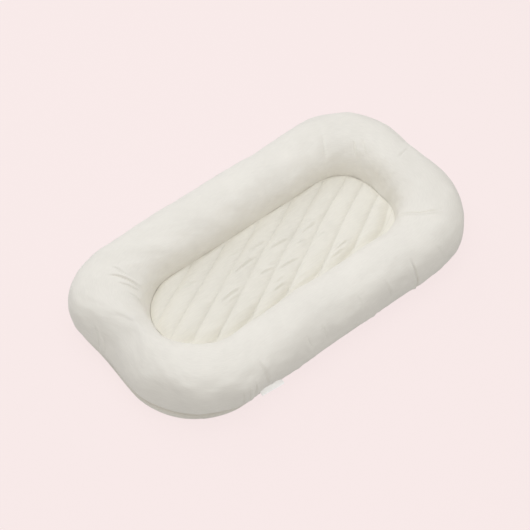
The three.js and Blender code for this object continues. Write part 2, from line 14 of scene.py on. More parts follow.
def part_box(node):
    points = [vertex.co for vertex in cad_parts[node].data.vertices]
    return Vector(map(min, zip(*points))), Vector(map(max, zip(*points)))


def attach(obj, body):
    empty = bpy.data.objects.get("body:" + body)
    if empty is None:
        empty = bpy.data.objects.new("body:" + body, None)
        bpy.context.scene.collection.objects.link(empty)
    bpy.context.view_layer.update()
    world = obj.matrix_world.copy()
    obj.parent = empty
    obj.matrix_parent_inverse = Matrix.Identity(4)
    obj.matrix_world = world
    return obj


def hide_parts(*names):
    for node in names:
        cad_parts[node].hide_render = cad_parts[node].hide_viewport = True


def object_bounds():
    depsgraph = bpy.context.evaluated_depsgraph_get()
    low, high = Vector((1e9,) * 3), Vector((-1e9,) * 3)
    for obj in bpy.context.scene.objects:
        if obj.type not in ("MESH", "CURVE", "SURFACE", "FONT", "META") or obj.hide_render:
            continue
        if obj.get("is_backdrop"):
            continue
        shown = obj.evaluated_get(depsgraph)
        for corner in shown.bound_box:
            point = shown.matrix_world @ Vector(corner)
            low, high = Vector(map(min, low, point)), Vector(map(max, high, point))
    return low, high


bl_info = {
    "name": "Infant lounger",
    "version": (1, 0, 0),
    "blender": (4, 5, 0),
    "location": "3D View > Sidebar > Lounger",
    "description": "Builds the cloth, stuffing, zip and labels of an infant lounger",
    "category": "Add Mesh",
}

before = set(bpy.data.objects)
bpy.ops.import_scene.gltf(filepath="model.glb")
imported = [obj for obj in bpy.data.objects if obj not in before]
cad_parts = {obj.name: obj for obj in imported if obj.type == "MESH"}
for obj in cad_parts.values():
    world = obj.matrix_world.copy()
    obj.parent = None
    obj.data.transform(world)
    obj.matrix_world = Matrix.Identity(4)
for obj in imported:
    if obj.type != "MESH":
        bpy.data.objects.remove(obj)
bpy.context.view_layer.update()
CAD_BOX = [list(corner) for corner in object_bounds()]

MM = 0.001
TAU = 2 * math.pi


def node_box(name):
    """Lowest and highest corner of a CAD node at rest, in millimetres."""
    low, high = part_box(name)
    return np.array(low) / MM, np.array(high) / MM


# The ring's outline and section, as in the CAD model
RING_LOW, RING_HIGH = node_box("bolster_cover")
LENGTH, WIDTH = (RING_HIGH - RING_LOW)[:2]
HEIGHT = RING_HIGH[2]
TUBE_WIDTH = 124
FLOOR_SAG = 3
# Half width and mean half height of the tube, for distances round its section
HALF_WIDTH = TUBE_WIDTH / 2
HALF_HEIGHT = 60
# Right far, left far, left near and right near corner
OUTER_RADII = np.array([162.0, 126.0, 164.0, 156.0])
INNER_RADII = np.array([89.0, 88.0, 90.0, 75.0])
CORNER_SIGNS = np.array([[1, 1], [-1, 1], [-1, -1], [1, -1]])
# How far the near side bows in, and its number among the outline's eight stretches
NEAR_WAIST = 4
NEAR_SIDE = 5
SECTION_POWER = 2.3
BASE_SEAM_HEIGHT = RING_LOW[2]
PAD_SEAM_HEIGHT = 36
MIDDLE_HEIGHT = HEIGHT / 2
LOWER_REACH = MIDDLE_HEIGHT + FLOOR_SAG
LINER_FLOOR = node_box("bolster_liner_lower")[0][2]
# How far the inner layers lie inside the cover's face, clear of its folds
UNDERSIDE_INSET = 1.6
LINER_INSET = 7.0
FILLING_INSET = 9.5

# The base band: full stretches stand upright, slack ones tuck in under the ring
BAND_FULLNESS = [0.7, 1, 0.7, 0.45, 1, 0, 0, 0.3]
BAND_TOP = node_box("base_band")[1][2]
BAND_FOOT_HEIGHT = 5
# Height of the whole band, which turns its shares into distances below the seam
BAND_DROP = 19
# Share of the band's profile that is its wall; the rest turns under at the foot
BAND_WALL_SHARE = 0.7
BAND_WALL_STEP = 0.8
BAND_FOOT_TUCK = 3
BAND_THICKNESS = 1.3
BAND_BULGE = 5.6
SLACK_PULL = 3.0
SLACK_LOW_TUCK = 13
SLACK_FOOT_TUCK = 19
# Where the band's two ends are joined, in plan
BAND_JOIN = (-319.26, -178.5)
# Behind the zip the band keeps its straight face, up to this far from the zip's middle
BAND_FACE = node_box("base_band")[1][1]
ZIP_MIDDLE = np.mean([corner[0] for corner in node_box("zip_tape_upper")])
ZIP_REACH = 252

# The pad: its gap to the cover, its half length, and the quilt
PAD_EDGE_GAP = 0.3
PAD_HALF_LENGTH = 278
QUILT_LOW = node_box("quilted_pad")[0][2]
QUILT_EDGE = 6.5
QUILT_FAR_EDGE = 3.0
QUILT_VALLEY = 6
QUILT_CROWN = 1.5
QUILT_OFFSET = 8.5
QUILT_ANGLE = math.radians(27)
QUILT_ACROSS = np.array([math.sin(QUILT_ANGLE), -math.cos(QUILT_ANGLE)])
QUILT_BEND = 4.6

# The labels: each leaf's thickness, the gap between the leaves and the length round the fold,
# and the ends of the side label's seam
LABEL_LEAF = 0.5
LABEL_GAP = 0.4
SIDE_LABEL_SEAM = [(-200.4, -204.6, 23.2), (-150.4, -208.8, 23.0)]

# How far the cover leans in over the pad where the two are sewn together, and the ends where
# it slopes down to the pad: a place, how much further it leans and over what reach
WALL_LEAN = 2.8
SOFT_ENDS = [(-279, 15, 12, 75), (284, 5, 8, 60)]

# Where the inner outline is pushed back from the pad: a place, how far and over what reach
INNER_NUDGES = [(-279, 15, 15, 75), (280, 0, 13, 60), (255, 85, 6, 45)]

# Where the stuffed ring leaves its even outline: a place, how far out it goes and over what reach
OUTER_NUDGES = [
    (-392, 142, 10, 55),
    (-352, 182, 1, 50),
    (-283, 218, -6, 65),
    (200, 224, -2.5, 120),
    (393, 62, -9, 65),
    (405, -25, -3, 45),
    (373, -176, 3, 50),
    (301, -202, -2, 50),
    (25, -220, 2.5, 90),
    (-312, -180, -13, 85),
    (-222, -215, -1, 45),
    (-378, -118, -5, 55),
]

# Where the outer side is not evenly round: a place, how far its crest leans back towards the pad,
# how much is added to the section's power, and over what reach
OUTER_SHAPES = [
    (-398, 20, 34, 0, 95),
    (-385, -120, 14, 0.2, 60),
    (-320, -185, -4, 0.6, 70),
    (-225, -212, -6, 0.5, 50),
]


# Fold lines of the ring's cover: a path, then depth, half width, the lip beside the fold
# (on the left when positive, on the right when negative) and the shares it fades in and out over
RING_FOLDS = [
    ([(-312, 139, 116), (-304, 134, 117), (-296, 129, 116), (-287, 120, 115), (-276, 104, 111),
      (-266, 87, 98), (-262, 78, 86)], 4.2, 1.5, 1.8, 0.6, 0.35),
    ([(-303, 114, 115), (-296, 108, 114), (-285, 97, 110), (-273, 82, 100), (-267, 74, 88)],
     3.0, 1.5, 1.4, 0.6, 0.4),
    ([(-300, 92, 113), (-291, 78, 109), (-281, 63, 98), (-276, 56, 86)], 2.2, 1.5, 1.0, 0.6, 0.4),
    ([(-290, 149, 116), (-283, 137, 117), (-279, 123, 117), (-270, 106, 108)],
     2.0, 1.8, 1.0, 0.3, 0.5),
    ([(-391, 78, 99), (-396, 62, 86), (-397, 52, 62), (-392, 50, 34)], 3.0, 2.2, 1.2, 0.5, 0.2),
    ([(-395, 48, 87), (-399, 38, 76), (-394, 30, 40)], 2.6, 2.0, -1.0, 0.5, 0.2),
    ([(190, -193, 112), (185, -204, 106), (184, -216, 92), (187, -222, 66), (190, -220, 42),
      (190, -214, 26)], 6.0, 1.8, -2.6, 0.4, 0.1),
    ([(118, -197, 111), (115, -205, 105), (115, -214, 93), (118, -221, 76), (119, -221, 50)],
     2.6, 2.4, 1.2, 0.5, 0.3),
    ([(246, -86, 84), (250, -98, 97), (257, -106, 105), (273, -127, 115), (296, -140, 117),
      (320, -153, 115)], 5.0, 1.7, -3.0, 0.2, 0.25),
    ([(-190, -190, 113), (-193, -202, 106), (-192, -216, 88), (-190, -220, 52)],
     3.6, 3.6, 1.8, 0.5, 0.2),
    ([(-219, -209, 98), (-220, -218, 84), (-222, -222, 58), (-222, -212, 28)],
     2.6, 2.0, 1.0, 0.4, 0.1),
    ([(-233, -212, 93), (-234, -218, 78), (-235, -218, 44)], 2.2, 1.8, 0.8, 0.4, 0.1),
    ([(-247, -212, 90), (-247, -219, 70), (-246, -214, 34)], 2.2, 1.8, 0.8, 0.4, 0.1),
    ([(-44, -200, 107), (-45, -212, 94), (-44, -221, 70)], 1.8, 2.4, 0.8, 0.4, 0.4),
    ([(-82, -204, 105), (-83, -214, 92), (-79, -221, 62)], 2.0, 2.4, -0.8, 0.4, 0.4),
    ([(50, -197, 109), (49, -208, 99), (51, -220, 72)], 1.8, 2.4, 0.8, 0.4, 0.4),
    ([(248, -199, 110), (252, -212, 98), (263, -220, 62)], 1.8, 2.6, 0.8, 0.4, 0.4),
    ([(324, 4, 118), (344, 7, 118), (372, 13, 108)], 1.8, 2.6, 0.8, 0.4, 0.4),
    ([(247, 152, 117), (240, 140, 117), (222, 108, 100), (218, 102, 84)], 2.2, 4.0, 0.0, 0.4, 0.3),
    ([(287, 99, 115), (282, 89, 112), (268, 68, 89)], 2.8, 2.2, 1.2, 0.4, 0.3),
    ([(304, 90, 117), (296, 76, 114), (283, 52, 98)], 2.4, 2.2, 1.0, 0.4, 0.3),
]

# Broad dents and swellings of the stuffing: a place, a height and a reach
RING_SWELLS = [
    ((-178, -216, 36), -5.0, 24), ((-203, -216, 35), -7.0, 16), ((-386, 94, 100), -2.5, 30),
    ((-392, 28, 84), -2.5, 26), ((-366, 6, 112), 1.5, 30), ((-383, -72, 90), -2.0, 26),
    ((-360, -138, 92), -3.0, 28), ((-316, -152, 112), 2.0, 30), ((-286, -200, 86), -3.0, 26),
    ((-98, -217, 84), -3.0, 24), ((-27, -219, 80), -2.6, 22), ((32, -220, 78), -2.8, 24),
    ((104, -222, 70), -2.6, 24), ((300, 30, 112), 3.0, 26),
]

# Puckers of the quilt, in plan: start, end, height of the fold and half width of its groove
QUILT_PUCKERS = [
    ((-92, 23, 0), (-19, 29, 0), 3.4, 1.6), ((-152, -16, 0), (-86, -9, 0), 3.4, 1.6),
    ((-138, -25, 0), (-104, -21, 0), 1.6, 1.4), ((-32, 45, 0), (18, 48, 0), 2.4, 1.5),
    ((2, 26, 0), (60, 22, 0), 2.8, 1.5), ((77, 15, 0), (131, 20, 0), 2.6, 1.5),
    ((92, 28, 0), (130, 30, 0), 1.6, 1.4), ((-52, -10, 0), (-7, -15, 0), 2.6, 1.5),
    ((52, 1, 0), (85, -1, 0), 2.0, 1.4), ((-15, -24, 0), (43, -28, 0), 3.2, 1.6),
    ((-48, -60, 0), (-15, -57, 0), 2.4, 1.5), ((-36, -47, 0), (-8, -45, 0), 1.6, 1.4),
    ((-194, 59, 0), (-144, 54, 0), 2.0, 1.6), ((106, -60, 0), (152, -55, 0), 2.6, 1.5),
    ((88, -69, 0), (134, -66, 0), 2.2, 1.5), ((-68, 60, 0), (-38, 62, 0), 1.6, 1.4),
    ((22, -45, 0), (50, -43, 0), 1.8, 1.4), ((100, -10, 0), (126, -12, 0), 1.6, 1.4),
]


# Shapes

def unit(vectors):
    """The vectors, each divided by its length."""
    return vectors / np.maximum(np.linalg.norm(vectors, axis=-1, keepdims=True), 1e-12)


def eased(share):
    """0 below 0, 1 above 1 and a cubic ease between them."""
    share = np.clip(share, 0, 1)
    return share * share * (3 - 2 * share)


def bell(distance, reach):
    """A bell curve: 1 at no distance, 0.37 at the reach."""
    return np.exp(-(distance / reach) ** 2)


def soft_noise(x, y, seed, repeat=64):
    """Random heights from -1 to 1 on a square lattice, joined by cubic easing.

    The first axis repeats after a whole number of cells, so it can run round a closed ring.
    """
    table = np.random.default_rng(seed).uniform(-1, 1, (repeat, 64))
    column, row = np.floor(x).astype(int), np.floor(y).astype(int)
    across, up = eased(x - column), eased(y - row)
    corner = lambda i, j: table[(column + i) % repeat, (row + j) % 64]
    low = corner(0, 0) + (corner(1, 0) - corner(0, 0)) * across
    high = corner(0, 1) + (corner(1, 1) - corner(0, 1)) * across
    return low + (high - low) * up


def outline(turn, half_length, half_width, radii, waist=0):
    """Points in plan of a rounded rectangle whose corners are quarter circles of their own radii.

    turn runs from 0 to 8, one for each corner and each straight side, anticlockwise from the
    right end. The near side bows in by the waist times a squared sine.
    """
    stretch = np.floor(turn).astype(int) % 8
    share = (turn - np.floor(turn))[:, None]

    def corner(k, part):
        radius = radii[k][:, None]
        angle = (k[:, None] + part) * math.pi / 2
        middle = CORNER_SIGNS[k] * (np.array([half_length, half_width]) - radius)
        return middle + radius * np.concatenate([np.cos(angle), np.sin(angle)], axis=1)

    k = stretch // 2
    start = corner(k, np.ones_like(share))
    side = start + share * (corner((k + 1) % 4, np.zeros_like(share)) - start)
    side[:, 1] += np.where(stretch == NEAR_SIDE, waist * np.sin(math.pi * share[:, 0]) ** 2, 0)
    return np.where((stretch % 2 == 0)[:, None], corner(k, share), side)


def round_ring(values, sigma):
    """A bell-weighted mean of neighbours round a closed ring. It softens the outline's joins."""
    steps = np.arange(-3 * sigma, 3 * sigma + 1)
    weights = np.exp(-0.5 * (steps / sigma) ** 2)
    weights /= weights.sum()
    return sum(w * np.roll(values, -step, axis=0) for w, step in zip(weights, steps))


class RingPath:
    """The tube's middle line with its outward direction and half width, by distance along it."""

    def __init__(self, samples=3600, softening=14):
        turn = np.arange(samples) * 8 / samples
        outer = outline(turn, LENGTH / 2, WIDTH / 2, OUTER_RADII, NEAR_WAIST)
        inner = outline(turn, LENGTH / 2 - TUBE_WIDTH, WIDTH / 2 - TUBE_WIDTH, INNER_RADII)
        outward = unit(outer - inner)
        for x, y, amount, reach in OUTER_NUDGES:
            nudge = amount * bell(np.linalg.norm(outer - [x, y], axis=1), reach)
            outer = outer + nudge[:, None] * outward
        for x, y, amount, reach in INNER_NUDGES:
            nudge = amount * bell(np.linalg.norm(inner - [x, y], axis=1), reach)
            inner = inner + nudge[:, None] * outward
        middle = (outer + inner) / 2
        step = np.linalg.norm(np.roll(middle, -1, axis=0) - middle, axis=1)
        travelled = np.concatenate([[0], np.cumsum(step)])
        self.length = travelled[-1]
        even = np.arange(samples) * self.length / samples
        self.turn = np.interp(even, travelled, np.append(turn, 8))
        self.outer = self._even(outer, even, travelled, softening)
        self.inner = self._even(inner, even, travelled, softening)
        own = np.array(BAND_FULLNESS, float)
        self.fullness = round_ring(own[np.floor(self.turn).astype(int) % 8], 90)
        self.distance = even
        self.lean_back = np.zeros(samples)
        self.power = np.full(samples, SECTION_POWER)
        for x, y, back, power, reach in OUTER_SHAPES:
            share = bell(np.linalg.norm(self.outer - [x, y], axis=1), reach)
            self.lean_back = self.lean_back + back * share
            self.power = self.power + power * share
        self.lean = np.full(samples, WALL_LEAN)
        for x, y, amount, reach in SOFT_ENDS:
            apart = np.linalg.norm(self.inner - [x, y], axis=1)
            self.lean = self.lean + amount * bell(apart, reach)

    def _even(self, points, even, travelled, softening):
        closed = np.vstack([points, points[:1]])
        spread = [np.interp(even, travelled, closed[:, axis]) for axis in range(2)]
        return round_ring(np.stack(spread, axis=1), softening)

    def _at(self, s, values):
        return np.interp(np.asarray(s) % self.length, np.append(self.distance, self.length),
                         np.append(values, values[0]))

    def at(self, s):
        """Middle, outward direction, half width and band fullness at distances s."""
        outer = np.stack([self._at(s, self.outer[:, axis]) for axis in range(2)], axis=-1)
        inner = np.stack([self._at(s, self.inner[:, axis]) for axis in range(2)], axis=-1)
        half = np.linalg.norm(outer - inner, axis=-1) / 2
        return (outer + inner) / 2, unit(outer - inner), half, self._at(s, self.fullness)

    def read(self, s, name):
        """A value along the ring at distances s: turn, fullness, lean, lean_back or power.

        turn counts corners and sides from 0 to 8, lean is how far the inner wall leans over the
        pad, lean_back how far the outer side's crest leans back towards it, and power is that of
        the section's outer upper quarter.
        """
        return self._at(s, getattr(self, name))

    def nearest(self, x, y):
        """Distance along the ring of the outer outline's point nearest to a place in plan."""
        return self.distance[np.argmin(np.linalg.norm(self.outer - [x, y], axis=1))]


PATH = RingPath()


def rounded(value, power=SECTION_POWER):
    """Sine or cosine raised so that the section is a superellipse."""
    return np.sign(value) * np.abs(value) ** (2 / power)


def dip(height):
    """Angle below the middle at which the section reaches a height."""
    return math.asin(((MIDDLE_HEIGHT - height) / LOWER_REACH) ** (SECTION_POWER / 2))


BASE_SEAM_ANGLE = -dip(BASE_SEAM_HEIGHT)
PAD_SEAM_ANGLE = math.pi + dip(PAD_SEAM_HEIGHT)


def section_points(s, angle, inset, floor):
    """Points of the tube: a superellipse across it, lower half flattened on the floor.

    s is the distance along the ring and angle the place round the section, from the outer side
    over the crest. inset draws the section in from the cover's face. Below its inner side the
    wall leans towards the pad by a squared share. Above the base seam the outer side and the
    crest lean back by a share of their height.
    """
    middle, outward, half, _ = PATH.at(s)
    lean_from = math.pi - 0.25
    lean = np.clip((angle - lean_from) / (PAD_SEAM_ANGLE - lean_from), 0, 1) ** 2
    power = np.where((angle > 0) & (angle < math.pi / 2), PATH.read(s, "power"), SECTION_POWER)
    q = (half - inset) * rounded(np.cos(angle), power)
    q = q - PATH.read(s, "lean") * lean * (angle <= PAD_SEAM_ANGLE)
    up = rounded(np.sin(angle), power)
    z = MIDDLE_HEIGHT + (np.where(up < 0, LOWER_REACH, MIDDLE_HEIGHT) - inset) * up
    q = q - PATH.read(s, "lean_back") * (z - BASE_SEAM_HEIGHT) / (HEIGHT - BASE_SEAM_HEIGHT) * (
        eased((q / half + 0.75) / 1.2) * (z > BASE_SEAM_HEIGHT))
    plan = middle + outward * q[..., None]
    return np.concatenate([plan, np.maximum(z, floor)[..., None]], axis=-1)


def even_angles(first, last, spacing, fine=(), fine_spacing=1.0):
    """Section angles at even distances along the section, closer within 8 mm of each fine end."""
    angle = np.linspace(first, last, 2000)
    points = np.stack([HALF_WIDTH * rounded(np.cos(angle)), HALF_HEIGHT * rounded(np.sin(angle))],
                      axis=1)
    run = np.concatenate([[0], np.cumsum(np.linalg.norm(np.diff(points, axis=0), axis=1))])
    total = run[-1]
    start = np.arange(0, 8, fine_spacing) if "first" in fine else np.array([0.0])
    end = total - np.arange(0, 8, fine_spacing)[::-1] if "last" in fine else np.array([total])
    low, high = start[-1], end[0]
    count = max(2, round((high - low) / spacing))
    marks = np.concatenate([start, np.linspace(low, high, count + 1)[1:-1], end])
    return np.interp(marks, run, angle), marks


def grid_normals(points, wrap_rows=True, wrap_columns=True):
    """Unit normals of a grid, from the cross product of its two central differences."""
    def slope(axis, wrap):
        if wrap:
            return np.roll(points, -1, axis) - np.roll(points, 1, axis)
        return np.gradient(points, axis=axis)
    return unit(np.cross(slope(0, wrap_rows), slope(1, wrap_columns)))


def fold(points, normals, path, depth, width, lip, fade_in=0.3, fade_out=0.3):
    """A fold line: a narrow groove along a path, and a bell-shaped lip on one side of it.

    The groove fades in over its first share and out over its last share.
    """
    path = np.array(path, float)
    share = np.linspace(0, 1, 13)
    knots = np.linspace(0, 1, len(path))
    smooth = np.stack([np.interp(share, knots, path[:, axis]) for axis in range(3)], axis=1)
    smooth[1:-1] = (smooth[:-2] + 2 * smooth[1:-1] + smooth[2:]) / 4
    near = np.linalg.norm(points - smooth.mean(axis=0), axis=-1) < 6 * width + np.ptp(
        smooth, axis=0).max()
    result = np.zeros(points.shape[:-1])
    p, n = points[near], normals[near]
    best = np.full(len(p), 1e9)
    along = np.zeros(len(p))
    side = np.zeros(len(p))
    for k in range(len(smooth) - 1):
        run = smooth[k + 1] - smooth[k]
        offset = p - smooth[k]
        part = np.clip(offset @ run / (run @ run), 0, 1)
        away = offset - part[:, None] * run
        away = away - n * np.sum(away * n, axis=1, keepdims=True)
        distance = np.linalg.norm(away, axis=1)
        closer = distance < best
        best = np.where(closer, distance, best)
        along = np.where(closer, (k + part) / (len(smooth) - 1), along)
        sign = np.sign(np.sum(np.cross(run, away) * n, axis=1))
        side = np.where(closer, sign * distance, side)
    fade = eased(along / fade_in) * eased((1 - along) / fade_out)
    groove = np.exp(-(np.abs(side) / width) ** 1.3)
    raised = bell(side - np.sign(lip) * 2.2 * width, 1.8 * width)
    result[near] = fade * (abs(lip) * raised - depth * groove)
    return result


def ring_relief(s, angle, points, normals, settings):
    """How far the stuffed cover stands off the smooth tube.

    The sum of broad stuffing lumps and swells, a sway across the outer side, gathers that fade
    up from the base seam, soft pleats where the cloth is squeezed round the inner corners, a
    groove at the base seam, and the fold lines.
    """
    lumps = settings.lump_height / MM * (
        0.7 * soft_noise(s / PATH.length * 24, angle * 1.1, 3, 24)
        + 0.55 * soft_noise(s / PATH.length * 52, angle * 2.2, 5, 52)
        + 0.2 * soft_noise(s / PATH.length * 120, angle * 4.4, 8, 120))
    from_base = (angle - BASE_SEAM_ANGLE) * HALF_WIDTH
    from_pad = (PAD_SEAM_ANGLE - angle) * HALF_HEIGHT
    gather = settings.gather_height / MM * (
        soft_noise(s / PATH.length * 190, 0 * s, 12, 190)
        + 0.6 * soft_noise(s / PATH.length * 330, 0 * s, 13, 330))
    strength = 0.5 + 0.5 * soft_noise(s / PATH.length * 17, 0 * s, 14, 17)
    gather = gather * strength * np.exp(-np.abs(from_base) / 22)
    sway = settings.sway_height / MM * soft_noise(s / PATH.length * 42, angle * 0.6, 16, 42) * (
        bell(from_base - 30, 36))
    inner = eased((angle - 1.9) / 0.8) * eased((PAD_SEAM_ANGLE + 0.1 - angle) / 0.5)
    turn = PATH.read(s, "turn")
    squeeze = np.zeros_like(s)
    for corner, amount in zip((0.5, 2.5, 4.5, 6.5), (0.9, 1.0, 0.45, 0.5)):
        squeeze = squeeze + amount * bell(turn - corner, 0.42)
    pleat = settings.pleat_height / MM * squeeze * inner * soft_noise(
        s / PATH.length * 96 + 0.35 * np.sin(2 * angle), 0.8 * angle, 21, 96)
    slack = 1 - PATH.read(s, "fullness")
    seams = settings.seam_depth / MM * bell(from_base, 2.6) + SLACK_PULL * slack * bell(from_base, 9)
    above = np.where((angle > BASE_SEAM_ANGLE) & (angle < PAD_SEAM_ANGLE), 1, 0)
    body = (lumps + sway) * eased(from_base / 30) * eased(from_pad / 24)
    for place_at, height, reach in RING_SWELLS:
        body = body + height * bell(np.linalg.norm(points - place_at, axis=-1), reach)
    relief = above * (body + gather + pleat - seams)
    for path, *shape in RING_FOLDS:
        relief = relief + settings.fold_share * fold(points, normals, path, *shape)
    return relief


def crowded_stations(count):
    """Distances along the ring, crowded in a bell round each fold line."""
    fine = np.linspace(0, PATH.length, 4000)
    middle = PATH.at(fine)[0]
    density = np.ones_like(fine)
    for path, *_ in RING_FOLDS:
        spot = np.mean(path, axis=0)[:2]
        apart = np.abs(fine - fine[np.argmin(np.linalg.norm(middle - spot, axis=1))])
        density = density + 1.5 * bell(np.minimum(apart, PATH.length - apart), 26)
    run = np.concatenate([[0], np.cumsum((density[1:] + density[:-1]) / 2)])
    return np.interp(np.arange(count) / count * run[-1], run, fine)


def ring_layer(s, angle, inset, floor, settings, swell=None):
    """Points of one layer of the ring: its inset section, lifted by the cover's relief.

    The relief is the same for each layer. Angles past the base seam's next turn count a turn
    less, so that they get it too. swell adds the simulated movement to it.
    """
    angle = np.where(angle > BASE_SEAM_ANGLE + TAU, angle - TAU, angle)
    smooth = section_points(s, angle, 0, 0)
    normals = grid_normals(smooth, True, False)
    relief = ring_relief(s, angle, smooth, normals, settings)
    if swell is not None:
        relief = relief + swell(s, angle)
    layer = section_points(s, angle, inset, floor)
    lifted = layer + relief[..., None] * normals
    lifted[..., 2] = np.maximum(lifted[..., 2], floor)
    return lifted


# Meshes

def grid_faces(rows, columns, wrap_rows, wrap_columns):
    """Corner numbers of the quads of a grid, and each corner's row and column mark."""
    i = np.arange(rows if wrap_rows else rows - 1)
    j = np.arange(columns if wrap_columns else columns - 1)
    i, j = np.meshgrid(i, j, indexing="ij")
    marks = np.stack([np.stack([i, j]), np.stack([i, j + 1]),
                      np.stack([i + 1, j + 1]), np.stack([i + 1, j])], axis=-1)
    marks = marks.reshape(2, -1, 4)
    return (marks[0] % rows) * columns + marks[1] % columns, marks


def make_mesh(name, points, faces, uv=None):
    """A mesh from points in millimetres and faces as arrays of corner numbers."""
    mesh = bpy.data.meshes.new(name)
    sizes = np.concatenate([np.full(len(f), f.shape[1]) for f in faces])
    corners = np.concatenate([f.ravel() for f in faces])
    starts = np.concatenate([[0], np.cumsum(sizes)[:-1]])
    mesh.vertices.add(len(points))
    mesh.vertices.foreach_set("co", (points * MM).astype(np.float32).ravel())
    mesh.loops.add(len(corners))
    mesh.loops.foreach_set("vertex_index", corners.astype(np.int32))
    mesh.polygons.add(len(sizes))
    mesh.polygons.foreach_set("loop_start", starts.astype(np.int32))
    mesh.polygons.foreach_set("loop_total", sizes.astype(np.int32))
    mesh.polygons.foreach_set("use_smooth", np.ones(len(sizes), bool))
    if uv is not None:
        layer = mesh.uv_layers.new(name="cloth")
        layer.data.foreach_set("uv", uv.astype(np.float32).ravel())
    mesh.update(calc_edges=True)
    mesh.validate()
    return mesh


def volume(points, faces):
    """Signed volume that the faces enclose; negative when they point inwards."""
    total = 0.0
    for f in faces:
        for k in range(1, f.shape[1] - 1):
            a, b, c = points[f[:, 0]], points[f[:, k]], points[f[:, k + 1]]
            total += float(np.sum(a * np.cross(b, c)))
    return total / 6


def grid_piece(name, points, material, wrap=(True, True), caps=False, marks=None, flip=False):
    """An object from a grid of points. Closed grids are turned to face outwards.

    caps closes the first and last row with a face each. marks are the distances in millimetres
    of the rows and columns, one more than their number where the grid wraps, for the UV map.
    flip turns an open grid's faces round.
    """
    rows, columns = points.shape[:2]
    quads, corners = grid_faces(rows, columns, *wrap)
    flat = points.reshape(-1, 3)
    faces = [quads]
    if caps:
        first = np.arange(columns)[None, ::-1]
        faces.append(np.concatenate([first, (rows - 1) * columns + first[:, ::-1]]))
    closed = wrap[0] and wrap[1] or caps
    if volume(flat, faces) < 0 if closed else flip:
        faces = [f[:, ::-1] for f in faces]
        corners = corners[:, :, ::-1]
    uv = None
    if marks is not None:
        uv = np.stack([marks[0][corners[0]], marks[1][corners[1]]], axis=-1).reshape(-1, 2) * MM
        if caps:
            uv = np.concatenate([uv, np.zeros((2 * columns, 2))])
    return place(name, make_mesh(name, flat, faces, uv=uv), material)


def place(name, mesh, material):
    """Puts a mesh in the scene at the origin, with its material."""
    piece = bpy.data.objects.new(name, mesh)
    bpy.context.scene.collection.objects.link(piece)
    mesh.materials.append(material)
    return piece


def join_parts(parts):
    """Joins (points, faces) parts into one set of points and quads."""
    points, faces, count = [], [], 0
    for part_points, part_faces in parts:
        points.append(part_points)
        faces.append(part_faces + count)
        count += len(part_points)
    return np.concatenate(points), [np.concatenate(faces)]


def solid_cloth(piece, thickness, offset=-1):
    """Gives a sheet its thickness, inwards from the face it shows or to both sides of it."""
    wall = piece.modifiers.new("Thickness", "SOLIDIFY")
    wall.thickness = thickness * MM
    wall.offset = offset
    wall.use_even_offset = True
    return piece


def settle(piece, body, slot, *nodes):
    """Rides a piece on its body and hides the CAD nodes it stands for. The slot is not used."""
    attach(piece, body)
    if nodes:
        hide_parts(*nodes)
    return piece


# Stitch: a capsule of four rings and two end points, bowed up in the middle
STITCH_RINGS = np.array([-0.92, -0.45, 0.45, 0.92])
STITCH_GIRTH = np.array([0.6, 1.0, 1.0, 0.6])


def stitches(name, starts, ends, ups, girth, material, bow=0.6):
    """Threads between pairs of points: each a six-sided capsule that bows up by its girth."""
    along = ends - starts
    side = unit(np.cross(ups, along))
    up = unit(np.cross(along, side))
    turn = np.arange(6) * TAU / 6
    ring = STITCH_RINGS[:, None] + 0 * turn
    lift = girth * (STITCH_GIRTH[:, None] * np.sin(turn) + bow * (1 - STITCH_RINGS[:, None] ** 2))
    out = girth * STITCH_GIRTH[:, None] * np.cos(turn)
    middle = (starts + ends) / 2
    spread = lambda values, axes: values.reshape(1, -1, 1) * axes[:, None, :]
    rings = (middle[:, None] + spread(ring / 2, along) + spread(out, side) + spread(lift, up))
    tips = np.stack([starts - 0.03 * along, ends + 0.03 * along], axis=1)
    points = np.concatenate([rings, tips], axis=1)
    k = np.arange(6)
    quads = np.concatenate([np.stack([r * 6 + k, r * 6 + (k + 1) % 6, r * 6 + 6 + (k + 1) % 6,
                                      r * 6 + 6 + k], axis=1) for r in range(3)])
    fans = np.concatenate([np.stack([np.full(6, 24), (k + 1) % 6, k], axis=1),
                           np.stack([np.full(6, 25), 18 + k, 18 + (k + 1) % 6], axis=1)])
    base = (np.arange(len(points)) * 26)[:, None, None]
    faces = [(quads + base).reshape(-1, 4), (fans + base).reshape(-1, 3)]
    flat = points.reshape(-1, 3)
    if volume(flat[:26], [quads, fans]) < 0:
        faces = [f[:, ::-1] for f in faces]
    return place(name, make_mesh(name, flat, faces), material)


def stitch_line(path, ups, pitch, gap_share=0.25):
    """Splits a path into stitches of a pitch: their starts, ends and upward directions."""
    run = np.concatenate([[0], np.cumsum(np.linalg.norm(np.diff(path, axis=0), axis=1))])
    count = max(1, int(run[-1] / pitch))
    marks = (np.arange(count) + gap_share / 2) * run[-1] / count
    length = run[-1] / count * (1 - gap_share)
    at = lambda m, values: np.stack([np.interp(m, run, values[:, a]) for a in range(3)], axis=1)
    return at(marks, path), at(marks + length, path), at(marks + length / 2, ups)


# Materials

def linear(colour):
    """An sRGB hex colour as linear red, green, blue and alpha."""
    values = np.array([int(colour[k:k + 2], 16) for k in (1, 3, 5)]) / 255
    values = np.where(values <= 0.04045, values / 12.92, ((values + 0.055) / 1.055) ** 2.4)
    return (*values.tolist(), 1.0)


def shaded(colour, share):
    """A colour made darker or paler by a share, at most white."""
    return (*(min(1, part * share) for part in colour[:3]), 1.0)


def set_inputs(tree, node, inputs):
    """Sets inputs to values, or links them to sockets or to the first outputs of other nodes."""
    for name, value in inputs.items():
        if isinstance(value, bpy.types.Node):
            value = value.outputs[0]
        if isinstance(value, bpy.types.NodeSocket):
            tree.links.new(value, node.inputs[name])
        else:
            node.inputs[name].default_value = value


